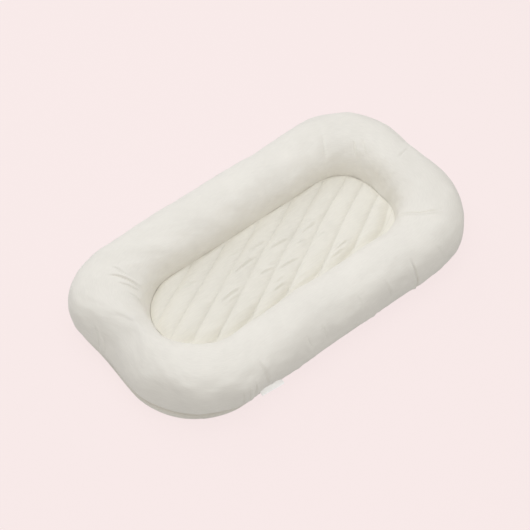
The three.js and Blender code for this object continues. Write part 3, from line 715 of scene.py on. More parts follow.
def add_node(tree, kind, inputs=None, **settings):
    """Adds a shader node with its settings, then its inputs."""
    new = tree.nodes.new("ShaderNode" + kind)
    for name, value in settings.items():
        setattr(new, name, value)
    set_inputs(tree, new, inputs or {})
    return new


def new_material(name, colour=(1, 1, 1, 1)):
    """A material, and its node tree."""
    material = bpy.data.materials.new(name)
    material.use_nodes = True
    material.diffuse_color = colour
    return material, material.node_tree


def woven(name, colour, by_uv=False, thread=0.9, relief=0.12, sheen=0.2, tone=0.03,
          roughness=0.9, twill=False, glow=0.0):
    """Woven cloth: two sets of threads cross over and under, with slubs and a soft mottling.

    thread is the distance between threads in millimetres, relief their height, tone how far the
    colour varies. A twill shows diagonal ribs in place of the plain weave. glow is painted light:
    light that the cloth gives off by itself, which keeps it bright where it lies in shade. The
    cloth's own UV map or the object gives the places.
    """
    material, tree = new_material(name, colour)
    place_on = add_node(tree, "TexCoord").outputs["UV" if by_uv else "Object"]
    wander = add_node(tree, "TexNoise", {"Vector": place_on, "Scale": 90.0, "Detail": 2.0})
    shift = add_node(tree, "VectorMath", {0: wander.outputs["Color"], 1: (0.35 * thread * MM,) * 3},
                     operation="MULTIPLY")
    drawn = add_node(tree, "VectorMath", {0: place_on, 1: shift}, operation="ADD")
    turns = add_node(tree, "VectorMath", {0: drawn, 1: (math.pi / (thread * MM),) * 3},
                     operation="MULTIPLY")
    parts = add_node(tree, "SeparateXYZ", {0: turns})
    if twill:
        diagonal = add_node(tree, "Math", {0: parts.outputs[0], 1: parts.outputs[1]},
                            operation="ADD")
        weave = add_node(tree, "Math", {0: diagonal}, operation="SINE")
    else:
        warp = add_node(tree, "Math", {0: parts.outputs[0]}, operation="SINE")
        weft = add_node(tree, "Math", {0: parts.outputs[1]}, operation="SINE")
        weave = add_node(tree, "Math", {0: warp, 1: weft}, operation="MULTIPLY")
    drawn_out = add_node(tree, "Mapping", {"Vector": place_on, "Scale": (60.0, 900.0, 60.0)})
    slub = add_node(tree, "TexNoise", {"Vector": drawn_out, "Scale": 1.0, "Detail": 2.0})
    height = add_node(tree, "Math", {0: weave, 1: slub}, operation="ADD")
    crumple = add_node(tree, "TexNoise",
                       {"Vector": place_on, "Scale": 26.0, "Detail": 3.0, "Roughness": 0.55})
    soft = add_node(tree, "Bump", {"Height": crumple, "Strength": 0.5, "Distance": 1.6 * MM})
    bump = add_node(tree, "Bump", {"Height": height, "Strength": 0.45, "Distance": relief * MM,
                                   "Normal": soft})
    mottle = add_node(tree, "TexNoise",
                      {"Vector": place_on, "Scale": 9.0, "Detail": 3.0, "Roughness": 0.6})
    mixed = add_node(tree, "Math", {0: slub, 1: mottle}, operation="ADD")
    shade = add_node(tree, "MapRange", {"Value": mixed, "From Min": 0.7, "From Max": 1.3})
    tint = add_node(tree, "Mix", {"Factor": shade, "A": shaded(colour, 1 - 2 * tone),
                                  "B": shaded(colour, 1 + tone)}, data_type="RGBA")
    fuzz = add_node(tree, "MapRange", {"Value": weave, "From Min": -1.0,
                                       "To Min": roughness - 0.05, "To Max": roughness + 0.05})
    # The emission is painted light: a glow of the cloth's own colour, though the cloth is no lamp
    set_inputs(tree, tree.nodes["Principled BSDF"], {
        "Base Color": tint.outputs[2], "Roughness": fuzz, "Normal": bump, "Sheen Weight": sheen,
        "Sheen Roughness": 0.5, "Specular IOR Level": 0.3, "Emission Color": colour,
        "Emission Strength": glow})
    return material


def wadding(name, colour):
    """Carded polyester wadding: matted fine fibres, soft and without a hard highlight."""
    material, tree = new_material(name, colour)
    place_on = add_node(tree, "TexCoord").outputs["Object"]
    fibre = add_node(tree, "TexNoise",
                     {"Vector": place_on, "Scale": 700.0, "Detail": 5.0, "Distortion": 2.5})
    tuft = add_node(tree, "TexNoise", {"Vector": place_on, "Scale": 70.0, "Detail": 3.0})
    height = add_node(tree, "Math", {0: fibre, 1: tuft}, operation="ADD")
    bump = add_node(tree, "Bump", {"Height": height, "Strength": 0.7, "Distance": 1.2 * MM})
    tint = add_node(tree, "Mix", {"Factor": tuft, "A": shaded(colour, 0.88), "B": colour},
                    data_type="RGBA")
    set_inputs(tree, tree.nodes["Principled BSDF"], {
        "Base Color": tint.outputs[2], "Normal": bump, "Roughness": 1.0, "Sheen Weight": 0.35})
    return material


def moulded(name, colour, roughness, grain, depth, coat=0.0):
    """A smooth hard surface with fine grain, in millimetres: nylon, thread or lacquer over zinc."""
    material, tree = new_material(name, colour)
    place_on = add_node(tree, "TexCoord").outputs["Object"]
    skin = add_node(tree, "TexNoise", {"Vector": place_on, "Scale": 1 / (grain * MM),
                                       "Detail": 3.0})
    bump = add_node(tree, "Bump", {"Height": skin, "Strength": 0.3, "Distance": depth * MM})
    worn = add_node(tree, "MapRange", {"Value": skin, "To Min": roughness - 0.08,
                                       "To Max": roughness + 0.08})
    tint = add_node(tree, "Mix", {"Factor": skin, "A": shaded(colour, 0.92), "B": colour},
                    data_type="RGBA")
    set_inputs(tree, tree.nodes["Principled BSDF"], {
        "Base Color": tint.outputs[2], "Roughness": worn, "Normal": bump, "Coat Weight": coat})
    return material


def made_once(build, name, colour, *values, **settings):
    """A material by name, built the first time it is asked for. colour is a hex or a setting."""
    if not colour.startswith("#"):
        colour = (*getattr(bpy.context.scene.lounger_colours, colour)[:3], 1.0)
    else:
        colour = linear(colour)
    return bpy.data.materials.get(name) or build(name, colour, *values, **settings)


def cover_percale():
    # Cotton percale: a close plain weave of fine yarn, smooth and matt, with a faint fuzz.
    # Its threads are 0.25 mm apart, too fine to show, so they are drawn 0.9 mm apart.
    return made_once(woven, "Cotton percale, ivory", "cover", by_uv=True)


def quilt_percale():
    # The same percale over wadding, a little creamier, seen in plan so it reads object space
    return made_once(woven, "Cotton percale, quilted", "quilt")


def base_drill():
    # Cotton drill: a heavier twill, whose diagonal ribs give the band and base a dry look
    return made_once(woven, "Cotton drill, ivory", "base", thread=1.2, relief=0.16, twill=True,
                     sheen=0.12)


def liner_calico():
    # Calico: plain, unbleached and slightly coarse, as inner covers are
    return made_once(woven, "Cotton calico liner", "#efece2", thread=1.1, relief=0.15, tone=0.05,
                     sheen=0.1)


def polyester_wadding():
    # Hollow polyester fibre: loose, white and matt, with small tufts
    return made_once(wadding, "Polyester wadding", "#f3f2ee")


def zip_tape_weave():
    # Woven polyester tape: close diagonal ribs, slightly glossier than cotton
    return made_once(woven, "Woven polyester tape", "zip_tape", thread=0.6, twill=True, roughness=0.7)


def nylon_coil():
    # Extruded nylon monofilament: milky and smooth, with a soft highlight
    return made_once(moulded, "Nylon monofilament", "zip_coil", 0.38, 0.8, 0.02)


def lacquered_zinc():
    # Die-cast zinc under ivory lacquer: an even, rounded gloss with a slight orange-peel skin
    return made_once(moulded, "Lacquered die-cast zinc", "zip_metal", 0.3, 0.6, 0.015, coat=0.4)


def label_satin(whitened):
    # Woven polyester satin: fine ribs, bright and slightly silky. The side label's copy has a
    # painted glow, light that it gives off by itself, so that it stays white in the ring's shade.
    return made_once(woven, "Whitened satin label" if whitened else "Woven satin label", "label",
                     thread=0.5, relief=0.05, roughness=0.5, tone=0.01, sheen=0.7,
                     glow=0.26 if whitened else 0.0)


def sewing_thread():
    # Spun polyester thread: a fine two-ply twist that catches a little light
    return made_once(moulded, "Spun polyester thread", "thread", 0.6, 0.25, 0.05)


# Settings

def colour_property(name, description, colour):
    return FloatVectorProperty(name=name, description=description, default=linear(colour)[:3],
                               subtype="COLOR", size=3, min=0, max=1)


def length_property(name, description, default, low=0.0, high=0.1):
    return FloatProperty(name=name, description=description, default=default * MM,
                         min=low, max=high, unit="LENGTH", subtype="DISTANCE", precision=4)


class LoungerRing(bpy.types.PropertyGroup):
    lump_height: length_property(
        "Lump height", "How far the stuffing's lumps stand off the smooth tube", 2.9)
    gather_height: length_property(
        "Gather height", "Height of the small gathers along the base seam", 1.7)
    cloth_pressure: FloatProperty(
        name="Cloth pressure", description="Pressure in the simulated cover", default=4.0,
        min=0.0, max=20.0)
    cloth_ease: FloatProperty(
        name="Cloth ease", description="How much too large the simulated cover is",
        default=0.02, min=0.0, max=0.2, subtype="FACTOR")
    cloth_cap: length_property("Cloth cap", "Greatest movement taken from the simulation", 1.1)
    cloth_share: FloatProperty(
        name="Cloth share", description="Share of the simulated movement that is used",
        default=0.35, min=0.0, max=1.0, subtype="FACTOR")
    sway_height: length_property(
        "Sway height", "Height of the broad waves across the ring's outer side", 2.2)
    pleat_height: length_property(
        "Pleat height", "Height of the soft pleats round the inner corners", 1.3)
    seam_depth: length_property(
        "Seam depth", "How far the cover dips where it is sewn to the pad and the band", 2.6)
    fold_share: FloatProperty(
        name="Fold share", description="Depth of the fold lines, 1 for the photographed depth",
        default=1.0, min=0, max=2, subtype="FACTOR")


class LoungerPad(bpy.types.PropertyGroup):
    pitch: length_property("Channel pitch", "Distance between two stitch lines", 39.4)
    puff: length_property("Puff", "How far a channel stands over its stitch lines", 6.6)
    edge_roll: length_property("Edge roll", "Reach of the quilt's fall towards its edge", 5.0)
    stitch_length: length_property("Stitch length", "Length of one quilting stitch", 3.4)
    stitch_girth: length_property("Thread girth", "Radius of the quilting thread", 0.28)


class LoungerTrim(bpy.types.PropertyGroup):
    band_ripple: length_property(
        "Band ripple", "Height of the ripples where the band hangs slack", 0.7)
    coil_pitch: length_property("Coil pitch", "Distance between two turns of a zip coil", 1.6)
    hem_stitch: length_property("Hem stitch", "Length of a stitch round the zip window", 2.8)
    label_curl: length_property("Label curl", "How far a label's free fold curls outwards", 1.0)


class LoungerColours(bpy.types.PropertyGroup):
    cover: colour_property("Cover", "Cotton percale of the ring", "#efece4")
    quilt: colour_property("Quilt", "Cotton percale of the centre pad", "#edeae0")
    base: colour_property("Base", "Cotton drill of the band and base panel", "#efece3")
    zip_tape: colour_property("Zip tape", "Woven tape of the zip", "#e4dfd2")
    zip_coil: colour_property("Zip coil", "Nylon coils and stops of the zip", "#e0dbcd")
    zip_metal: colour_property("Zip slider", "Lacquer of the slider and its pull", "#e6e1d6")
    label: colour_property("Label", "Satin of the two labels", "#fbfbfb")
    thread: colour_property("Thread", "Sewing thread", "#e3dfd2")


class LoungerStage(bpy.types.PropertyGroup):
    backdrop: colour_property("Backdrop", "Colour of the floor and background", "#f9ebea")
    azimuth: FloatProperty(name="Azimuth", description="Camera's turn round the lounger",
                           default=math.radians(-38.156), subtype="ANGLE", unit="ROTATION")
    elevation: FloatProperty(name="Elevation", description="Camera's height over the horizon",
                             default=math.radians(56.404), subtype="ANGLE", unit="ROTATION")
    distance: FloatProperty(name="Distance", description="From the camera to the base's middle",
                            default=2.8169, min=0.5, max=20, unit="LENGTH", subtype="DISTANCE")
    focal_length: FloatProperty(name="Focal length", description="Camera's focal length",
                                default=93.4, min=10, max=400, unit="CAMERA")
    sky: FloatProperty(name="Sky", description="Strength of the even light from all round",
                       default=0.56, min=0, max=4)
    softbox: FloatProperty(name="Softbox", description="Power of the light overhead in watts",
                           default=13.2, min=0, max=1000, unit="POWER")
    far_light: FloatProperty(name="Far light", description="Power of the light behind in watts",
                             default=8, min=0, max=1000, unit="POWER")


# Operators

def read_grid(values, s, angle):
    """Values of a map over the ring, read between its grid's points by linear interpolation."""
    rows, columns = values.shape
    u = np.asarray(s) / PATH.length * rows
    v = (angle - BASE_SEAM_ANGLE) / (PAD_SEAM_ANGLE - BASE_SEAM_ANGLE) * (columns - 1)
    v = np.clip(v, 0, columns - 1.001)
    row, column = np.floor(u).astype(int), np.floor(v).astype(int)
    part_u, part_v = u - row, v - column
    low = values[row % rows, column] * (1 - part_u) + values[(row + 1) % rows, column] * part_u
    high = values[row % rows, column + 1] * (1 - part_u) + (
        values[(row + 1) % rows, column + 1] * part_u)
    return low * (1 - part_v) + high * part_v


def blown_up_cover(context, settings):
    """Wrinkles of the cover, from a cloth simulation of a coarse copy of it.

    The copy is a little too large for the stuffing, held along its two seams and blown up for
    twenty frames. What is returned reads the movement along the normals, less the broad waves
    along the ring, held within the cap.
    """
    rows, columns = 320, 48
    s = np.arange(rows) * PATH.length / rows
    angle = np.linspace(BASE_SEAM_ANGLE, PAD_SEAM_ANGLE, columns)
    grid_s, grid_angle = np.meshgrid(s, angle, indexing="ij")
    start = section_points(grid_s, grid_angle, 0, 0)
    normals = grid_normals(start, True, False)
    uneven = 1.2 * soft_noise(grid_s / PATH.length * 130, grid_angle * 4, 61, 130)
    start = start + uneven[..., None] * normals
    mesh = make_mesh("trial_cover", start.reshape(-1, 3), grid_faces(rows, columns, True, False))
    trial = bpy.data.objects.new("trial_cover", mesh)
    context.scene.collection.objects.link(trial)
    held = trial.vertex_groups.new(name="Seams")
    number = np.arange(rows * columns).reshape(rows, columns)
    held.add(number[:, [0, -1]].ravel().tolist(), 1.0, "REPLACE")
    cloth = trial.modifiers.new("Cloth", "CLOTH").settings
    cloth.quality = 6
    cloth.mass = 0.25
    cloth.tension_stiffness = 25
    cloth.compression_stiffness = 20
    cloth.bending_stiffness = 0.6
    cloth.shrink_min = -settings.cloth_ease
    cloth.vertex_group_mass = "Seams"
    cloth.use_pressure = True
    cloth.uniform_pressure_force = settings.cloth_pressure
    cloth.effector_weights.gravity = 0
    for frame_number in range(1, 21):
        context.scene.frame_set(frame_number)
    blown = trial.evaluated_get(context.evaluated_depsgraph_get()).to_mesh()
    ended = np.empty(rows * columns * 3)
    blown.vertices.foreach_get("co", ended)
    moved = np.sum((ended.reshape(rows, columns, 3) / MM - start) * normals, axis=-1)
    context.scene.frame_set(1)
    bpy.data.objects.remove(trial)
    bpy.data.meshes.remove(mesh)
    moved = round_ring(moved, 1) - round_ring(moved, 5)
    cap = settings.cloth_cap / MM
    moved = cap * np.tanh(moved / cap)
    return lambda at_s, at_angle: settings.cloth_share * read_grid(moved, at_s, at_angle) * (
        (at_angle > BASE_SEAM_ANGLE) & (at_angle < PAD_SEAM_ANGLE))


class BuildRing(bpy.types.Operator):
    """Build the stuffed ring: its cover, the two panels of its liner and its filling"""
    bl_idname = "lounger.build_ring"
    bl_label = "Ring"

    def execute(self, context):
        settings = context.scene.lounger_ring
        s = crowded_stations(940)
        over, over_marks = even_angles(BASE_SEAM_ANGLE, PAD_SEAM_ANGLE, 2.5, ("first", "last"))
        under, under_marks = even_angles(PAD_SEAM_ANGLE, BASE_SEAM_ANGLE + TAU, 8)
        angle = np.concatenate([over, under[1:-1]])
        marks = np.concatenate([over_marks, over_marks[-1] + under_marks[1:]])
        grid_s, grid_angle = np.meshgrid(s, angle, indexing="ij")
        inset = np.where(grid_angle > PAD_SEAM_ANGLE, UNDERSIDE_INSET, 0.0)
        floor = np.where(grid_angle > PAD_SEAM_ANGLE, LINER_FLOOR, 0.0)
        swell = blown_up_cover(context, settings)
        points = ring_layer(grid_s, grid_angle, inset, floor, settings, swell)
        cover = grid_piece("ring_cover", points, cover_percale(),
                           marks=(np.append(s, PATH.length), marks))
        settle(cover, "lounger", "cotton_cover", "bolster_cover")

        # Inner layers are coarser, and lie well inside the cover's folds
        s = np.arange(220) * PATH.length / 220
        for name, first, last, node in (
                ("ring_liner_upper", 0.0, math.pi, "bolster_liner_upper"),
                ("ring_liner_lower", math.pi, TAU, "bolster_liner_lower")):
            rows = np.linspace(first, last, 40)
            grid_s, grid_angle = np.meshgrid(s, rows, indexing="ij")
            points = ring_layer(grid_s, grid_angle, LINER_INSET, LINER_FLOOR + UNDERSIDE_INSET,
                                settings)
            piece = grid_piece(name, points, liner_calico(), wrap=(True, False))
            solid_cloth(piece, 0.8)
            settle(piece, "lounger", "liner", node)
        rows = np.linspace(0, TAU, 60, endpoint=False)
        grid_s, grid_angle = np.meshgrid(s, rows, indexing="ij")
        points = ring_layer(grid_s, grid_angle, FILLING_INSET, LINER_FLOOR + 2 * UNDERSIDE_INSET,
                            settings)
        fill = grid_piece("ring_filling", points, polyester_wadding())
        settle(fill, "lounger", "fibre", "bolster_fill")
        return {"FINISHED"}


def pad_outline(inset=0.0, samples=720):
    """The pad's edge in plan, just inside the cover's lower inner edge."""
    s = np.arange(samples) * PATH.length / samples
    middle, outward, half, _ = PATH.at(s)
    q = half * rounded(np.cos(PAD_SEAM_ANGLE)) - PATH.read(s, "lean") - PAD_EDGE_GAP - inset
    return middle + outward * q[:, None]


def chord_grid(edge, across, distances, shares):
    """Plan points on parallel lines across an outline.

    Each line lies at its distance along the across direction, and is cut where it enters and
    leaves the outline. shares place the points from one cut to the other.
    """
    following = np.roll(edge, -1, axis=0)
    a = (edge @ across)[None] - distances[:, None]
    b = (following @ across)[None] - distances[:, None]
    line, segment = np.nonzero((a < 0) != (b < 0))
    part = (a[line, segment] / (a[line, segment] - b[line, segment]))[:, None]
    cuts = (edge[segment] + part * (following[segment] - edge[segment])).reshape(-1, 2, 2)
    along = np.array([across[1], -across[0]])
    order = np.argsort(cuts @ along, axis=1)
    cuts = np.take_along_axis(cuts, order[..., None], axis=1)
    return cuts[:, :1] + shares[None, :, None] * (cuts[:, 1:] - cuts[:, :1])


def edge_distance(points, edge):
    """Distance in plan from each point to the nearest stretch of an outline."""
    run = np.roll(edge, -1, axis=0) - edge
    flat = points.reshape(-1, 2)
    nearest = np.full(len(flat), 1e9)
    for start, along in zip(edge, run):
        offset = flat - start
        part = np.clip(offset @ along / (along @ along), 0, 1)[:, None]
        nearest = np.minimum(nearest, np.linalg.norm(offset - part * along, axis=1))
    return nearest.reshape(points.shape[:-1])


def crowded(count, crowding=0.6):
    """Shares from 0 to 1, closer together towards both ends."""
    even = np.linspace(0, 1, count)
    return (1 - crowding) * even + crowding * (1 - np.cos(math.pi * even)) / 2


def flat_cushion(name, edge, marks, shares, low, high, rounding, material, swell=0.0):
    """A closed piece between two heights, inside an outline in plan, with its rim rounded.

    marks are the places in x of its cuts across, and shares place the points along each cut. The
    rim sinks by a quarter circle of the rounding. swell lowers the top by soft noise.
    """
    plan = chord_grid(edge, np.array([1.0, 0.0]), marks, shares)
    roll = np.clip(edge_distance(plan, edge[::3]) / rounding, 0, 1)
    sink = rounding * (1 - np.sqrt(1 - (1 - roll) ** 2))
    dent = np.abs(swell * soft_noise(plan[..., 0] / 34, plan[..., 1] / 34, 41) * roll)
    upper = np.concatenate([plan, (high - sink - dent)[..., None]], axis=-1)
    lower = np.concatenate([plan, (low + sink)[..., None]], axis=-1)[:, ::-1]
    return grid_piece(name, np.concatenate([upper, lower], axis=1), material,
                      wrap=(False, True), caps=True)


def quilt_surface(straight, edge, settings):
    """Points of the quilt's top: puffed channels between stitch lines, crown, ridges, puckers.

    straight are plan points on straight stitch lines. The lines bend across themselves towards
    the near side by an eased share and wander by noise, and keep the pad's edge. Each channel is
    the root of a sine across its width, with ridges of noise stretched along X. Along the near
    edge its right flank sinks. The height falls to the edge's height by an exponential share,
    more gently where the ring slopes down to the pad's left end.
    """
    phase = (straight @ QUILT_ACROSS - QUILT_OFFSET) / (settings.pitch / MM)
    inside = edge_distance(straight, edge)
    bend = QUILT_BEND * eased((15 - straight[..., 1]) / 90) + 1.4 * soft_noise(
        straight[..., 0] / 75, straight[..., 1] / 60, 36)
    plan = straight + QUILT_ACROSS * (bend * (1 - np.exp(-inside / 9)))[..., None]
    arch = np.abs(np.sin(math.pi * phase))
    from_stitch = np.abs(phase - np.round(phase)) * settings.pitch / MM
    x, y = plan[..., 0], plan[..., 1]
    channel = np.floor(phase)
    plump = 1 + 0.22 * soft_noise(x / 60 + 7.3 * channel, y / 60, 31)
    height = QUILT_VALLEY + settings.puff / MM * plump * arch ** 0.6
    height = height + QUILT_CROWN * np.cos(math.pi / 2 * np.clip(y / 100, -1, 1))
    middle_zone = bell(x / 190, 1) * bell(y / 85, 1)
    ridges = soft_noise(x / 90 + 3.1 * channel, y / 10, 33) + 0.5 * soft_noise(
        x / 60 + 5.7 * channel, y / 5.5, 34)
    height = height + 1.4 * ridges * (0.3 + 0.7 * middle_zone) * arch ** 0.4
    left = (phase - channel) * settings.pitch / MM
    flank = np.exp((left - settings.pitch / MM) / 17)
    flank = np.maximum(flank, np.exp(-left / 1.5) * 0.7)
    by_near_edge = eased(1 - (inside - 8) / 42) * eased((-y - 10) / 40)
    height = np.maximum(height - by_near_edge * (7 + 9 * flank), 1.5)
    height = height + 0.35 * soft_noise(x / 14 + channel, y / 9, 35) * np.exp(-from_stitch / 7)
    grid = np.concatenate([plan, np.zeros_like(plan[..., :1])], axis=-1)
    up = np.zeros_like(grid)
    up[..., 2] = 1
    for start, end, rise, width in QUILT_PUCKERS:
        middle = (np.array(start) + end) / 2 + [0, 0.8, 0]
        pucker = fold(grid, up, [start, middle, end], 0.8 * rise, 1.2 * width, rise,
                      0.35, 0.3)
        height = height + pucker * arch ** 0.2
    far = eased((y - 60) / 30) * eased((250 - np.abs(x)) / 60)
    low = QUILT_EDGE + QUILT_FAR_EDGE * far
    for end_x, end_y, _, reach in SOFT_ENDS:
        low = low - 4 * bell(np.hypot(x - end_x, y - end_y), reach)
    gentle = 1.2 - 0.6 * far + 1.8 * bell(np.hypot(x + 275, y - 10), 60)
    shoulder = 1 - np.exp(-inside / (settings.edge_roll / MM * gentle))
    height = low + (height - low) * shoulder
    height = height - 0.8 * bell(inside - 5, 1.3) * eased((x - 120) / 90)
    return np.concatenate([plan, (QUILT_LOW + height)[..., None]], axis=-1)


class BuildPad(bpy.types.Operator):
    """Build the centre pad: the quilt with its stitches, its backing and its wadding core"""
    bl_idname = "lounger.build_pad"
    bl_label = "Centre pad"

    def execute(self, context):
        settings = context.scene.lounger_pad
        edge = pad_outline(0.1)
        coarse_edge = edge[::3]
        reach = edge @ QUILT_ACROSS
        step = settings.pitch / MM / 20
        low, high = reach.min() * 0.998, reach.max() * 0.998
        rows = QUILT_OFFSET + step * np.arange(
            math.ceil((low - QUILT_OFFSET) / step), math.floor((high - QUILT_OFFSET) / step) + 1)
        plan = chord_grid(edge, QUILT_ACROSS, rows, crowded(210))
        upper = quilt_surface(plan, coarse_edge, settings)
        below = chord_grid(edge, QUILT_ACROSS, rows, crowded(24))[:, ::-1]
        lower = np.concatenate([below, np.full((*below.shape[:2], 1), QUILT_LOW)], axis=-1)
        quilt = grid_piece("quilt_top", np.concatenate([upper, lower], axis=1), quilt_percale(),
                           wrap=(False, True), caps=True)
        settle(quilt, "lounger", "cotton_quilt", "quilted_pad")

        lines = QUILT_OFFSET + settings.pitch / MM * np.arange(
            math.ceil((low - QUILT_OFFSET) / (settings.pitch / MM)),
            math.floor((high - QUILT_OFFSET) / (settings.pitch / MM)) + 1)
        paths = chord_grid(edge, QUILT_ACROSS, lines, np.linspace(0, 1, 160))
        sewn = quilt_surface(paths, coarse_edge, settings)[:, 3:-3] + [0, 0, 0.1]
        upwards = np.tile([0.0, 0.0, 1.0], (sewn.shape[1], 1))
        parts = [stitch_line(line, upwards, settings.stitch_length / MM) for line in sewn]
        thread = stitches("quilt_stitches", *(np.concatenate(part) for part in zip(*parts)),
                          settings.stitch_girth / MM, sewing_thread())
        settle(thread, "lounger", "cotton_quilt")

        low_x, high_x = edge[:, 0].min() * 0.998, edge[:, 0].max() * 0.998
        for name, node, inset, rounding, build in (
                ("pad_backing_cloth", "pad_backing", 0.0, 0.35, liner_calico),
                ("pad_wadding", "pad_core", 5.0, 6.0, polyester_wadding)):
            z_low, z_high = (corner[2] for corner in node_box(node))
            marks = (low_x + (high_x - low_x) * crowded(70, 0.8)) * (1 - inset / PAD_HALF_LENGTH)
            piece = flat_cushion(name, pad_outline(inset), marks, crowded(48, 0.8), z_low, z_high,
                                 rounding, build(), 0.15 * rounding)
            settle(piece, "lounger", "liner" if inset == 0 else "fibre", node)
        return {"FINISHED"}


def band_points(s, share, settings):
    """Points of the base band, from the base seam at share 0 down to its foot at share 1.

    The wall runs from seam to foot height, then turns under in a quarter round. Slack stretches
    tuck in under the ring and ripple, and full ones bulge by a sine, but not on the far side.
    Below the seam, the stretch behind the zip is moved to the band's straight face.
    """
    middle, outward, half, full = PATH.at(s)
    seam = half * rounded(np.cos(BASE_SEAM_ANGLE))
    slack = 1 - full
    top = seam + BAND_WALL_STEP * full
    low = top - SLACK_LOW_TUCK * slack
    foot = top - BAND_FOOT_TUCK * full - SLACK_FOOT_TUCK * slack
    down = np.clip(share / BAND_WALL_SHARE, 0, 1)
    under = np.clip((share - BAND_WALL_SHARE) / (1 - BAND_WALL_SHARE), 0, 1) * math.pi / 2
    q = top + (low - top) * down ** 1.3 + (foot - low) * (1 - np.cos(under))
    z = BAND_TOP - (BAND_TOP - BAND_FOOT_HEIGHT) * down
    z = z - (BAND_FOOT_HEIGHT - LINER_FLOOR) * np.sin(under)
    ripple = settings.band_ripple / MM * slack * np.sin(math.pi * np.clip(share, 0, 1)) * (
        soft_noise(s / PATH.length * 90, share * 1.5, 51, 90)
        + 0.5 * soft_noise(s / PATH.length * 210, share, 52, 210))
    near_side = 1 - eased((middle[..., 1] - 110) / 50)
    bulge = BAND_BULGE * full * near_side * np.sin(math.pi * np.clip(share, 0, 1) ** 0.9)
    from_seam = share * BAND_DROP
    pull = 2.0 * bell(from_seam, 1.8) + SLACK_PULL * slack * bell(from_seam, 9)
    plan = middle + outward * (q + ripple + bulge - pull)[..., None]
    by_zip = eased((ZIP_REACH - np.abs(plan[..., 0] - ZIP_MIDDLE)) / 24) * (middle[..., 1] > 100)
    to_face = BAND_FACE - middle[..., 1] - outward[..., 1] * top
    plan[..., 1] += by_zip * eased(share / 0.06) * to_face
    return np.concatenate([plan, z[..., None]], axis=-1)


class BuildBase(bpy.types.Operator):
    """Build the base: the band with its zip window, its hem stitches and the base panel"""
    bl_idname = "lounger.build_base"
    bl_label = "Base"

    def execute(self, context):
        settings = context.scene.lounger_trim
        closed, opened = node_box("zip_patch_closed"), node_box("zip_patch_open")
        gap = 0.3
        window = np.array([[closed[0][0] - gap, closed[0][2] - gap],
                           [opened[1][0] + gap, closed[1][2] + gap]])
        across = [PATH.nearest(x, WIDTH / 2) for x in window[:, 0]]
        ends = sorted(across)
        s = np.unique(np.concatenate([np.arange(640) * PATH.length / 640, ends]))
        wall = (BAND_TOP - window[::-1, 1]) / (BAND_TOP - BAND_FOOT_HEIGHT) * BAND_WALL_SHARE
        share = np.unique(np.concatenate([[0, 0.03, 0.07], np.linspace(0.12, 1, 16), wall]))
        grid_s, grid_share = np.meshgrid(s, share, indexing="ij")
        points = band_points(grid_s, grid_share, settings)
        join = PATH.nearest(*BAND_JOIN)
        beside = (grid_s - join + PATH.length / 2) % PATH.length - PATH.length / 2
        _, outward, _, _ = PATH.at(grid_s)
        lap = np.where(beside > 0, 0.9 * np.exp(-beside / 9), 0) - 1.3 * bell(beside, 1.6)
        points[..., :2] += outward * (lap * eased(grid_share / 0.1))[..., None]

        rows, columns = points.shape[:2]
        quads, corners = grid_faces(rows, columns, True, False)
        row_s, column_share = s[corners[0][:, 0] % rows], share[corners[1][:, 0]]
        hole = ((row_s >= ends[0] - 1e-6) & (row_s < ends[1] - 1e-6)
                & (column_share >= wall.min() - 1e-6) & (column_share < wall.max() - 1e-6))
        mesh = make_mesh("base_band_cloth", points.reshape(-1, 3), [quads[~hole]])
        band = solid_cloth(place("base_band_cloth", mesh, base_drill()), BAND_THICKNESS)
        settle(band, "lounger", "cotton_base", "base_band")

        # Stitches run round the zip window, just outside its edge
        margin = 0.75
        x0, x1 = window[0, 0] - margin, window[1, 0] + margin
        z0, z1 = window[0, 1] - margin, window[1, 1] + margin
        rim = np.array([[x0, z0], [x1, z0], [x1, z1], [x0, z1], [x0, z0]])
        parts = []
        for k in range(4):
            side = rim[k] + np.linspace(0, 1, 120)[:, None] * (rim[k + 1] - rim[k])
            side_s = across[0] + (side[:, 0] - window[0, 0]) * (across[1] - across[0]) / (
                window[1, 0] - window[0, 0])
            side_share = (BAND_TOP - side[:, 1]) / (BAND_TOP - BAND_FOOT_HEIGHT) * BAND_WALL_SHARE
            line = band_points(side_s, side_share, settings) + [0, 0.12, 0]
            parts.append(stitch_line(line, np.tile([0.0, 1.0, 0.0], (120, 1)),
                                     settings.hem_stitch / MM))
        hem = stitches("zip_window_stitches", *(np.concatenate(p) for p in zip(*parts)), 0.22,
                       sewing_thread())
        settle(hem, "lounger", "cotton_base")

        low, high = node_box("base_panel")
        foot_s = np.arange(720) * PATH.length / 720
        foot = band_points(foot_s, np.ones(720), settings)[:, :2] + 1.2 * PATH.at(foot_s)[1]
        first, last = foot[:, 0].min() + 0.3, foot[:, 0].max() - 0.3
        marks = first + (last - first) * crowded(150, 0.8)
        panel = flat_cushion("base_cloth", foot, marks, crowded(70, 0.7), low[2], high[2], 0.5,
                             base_drill())
        settle(panel, "lounger", "cotton_base", "base_panel")
        return {"FINISHED"}


def rounded_box(low, high, rounding, rows=10, columns=24):
    """Points of a box with softened edges: a superellipsoid scaled to its corners.

    rounding is the superellipsoid's power, so a higher one gives sharper edges.
    """
    u = np.linspace(-math.pi / 2, math.pi / 2, rows + 2)[1:-1]
    v = np.arange(columns) * TAU / columns
    power = 2 / rounding
    soft = lambda value: np.sign(value) * np.abs(value) ** power
    u, v = np.meshgrid(u, v, indexing="ij")
    ball = np.stack([soft(np.cos(u)) * soft(np.cos(v)), soft(np.sin(u)),
                     soft(np.cos(u)) * soft(np.sin(v))], axis=-1)
    return (np.array(low) + np.array(high)) / 2 + ball * (np.array(high) - np.array(low)) / 2


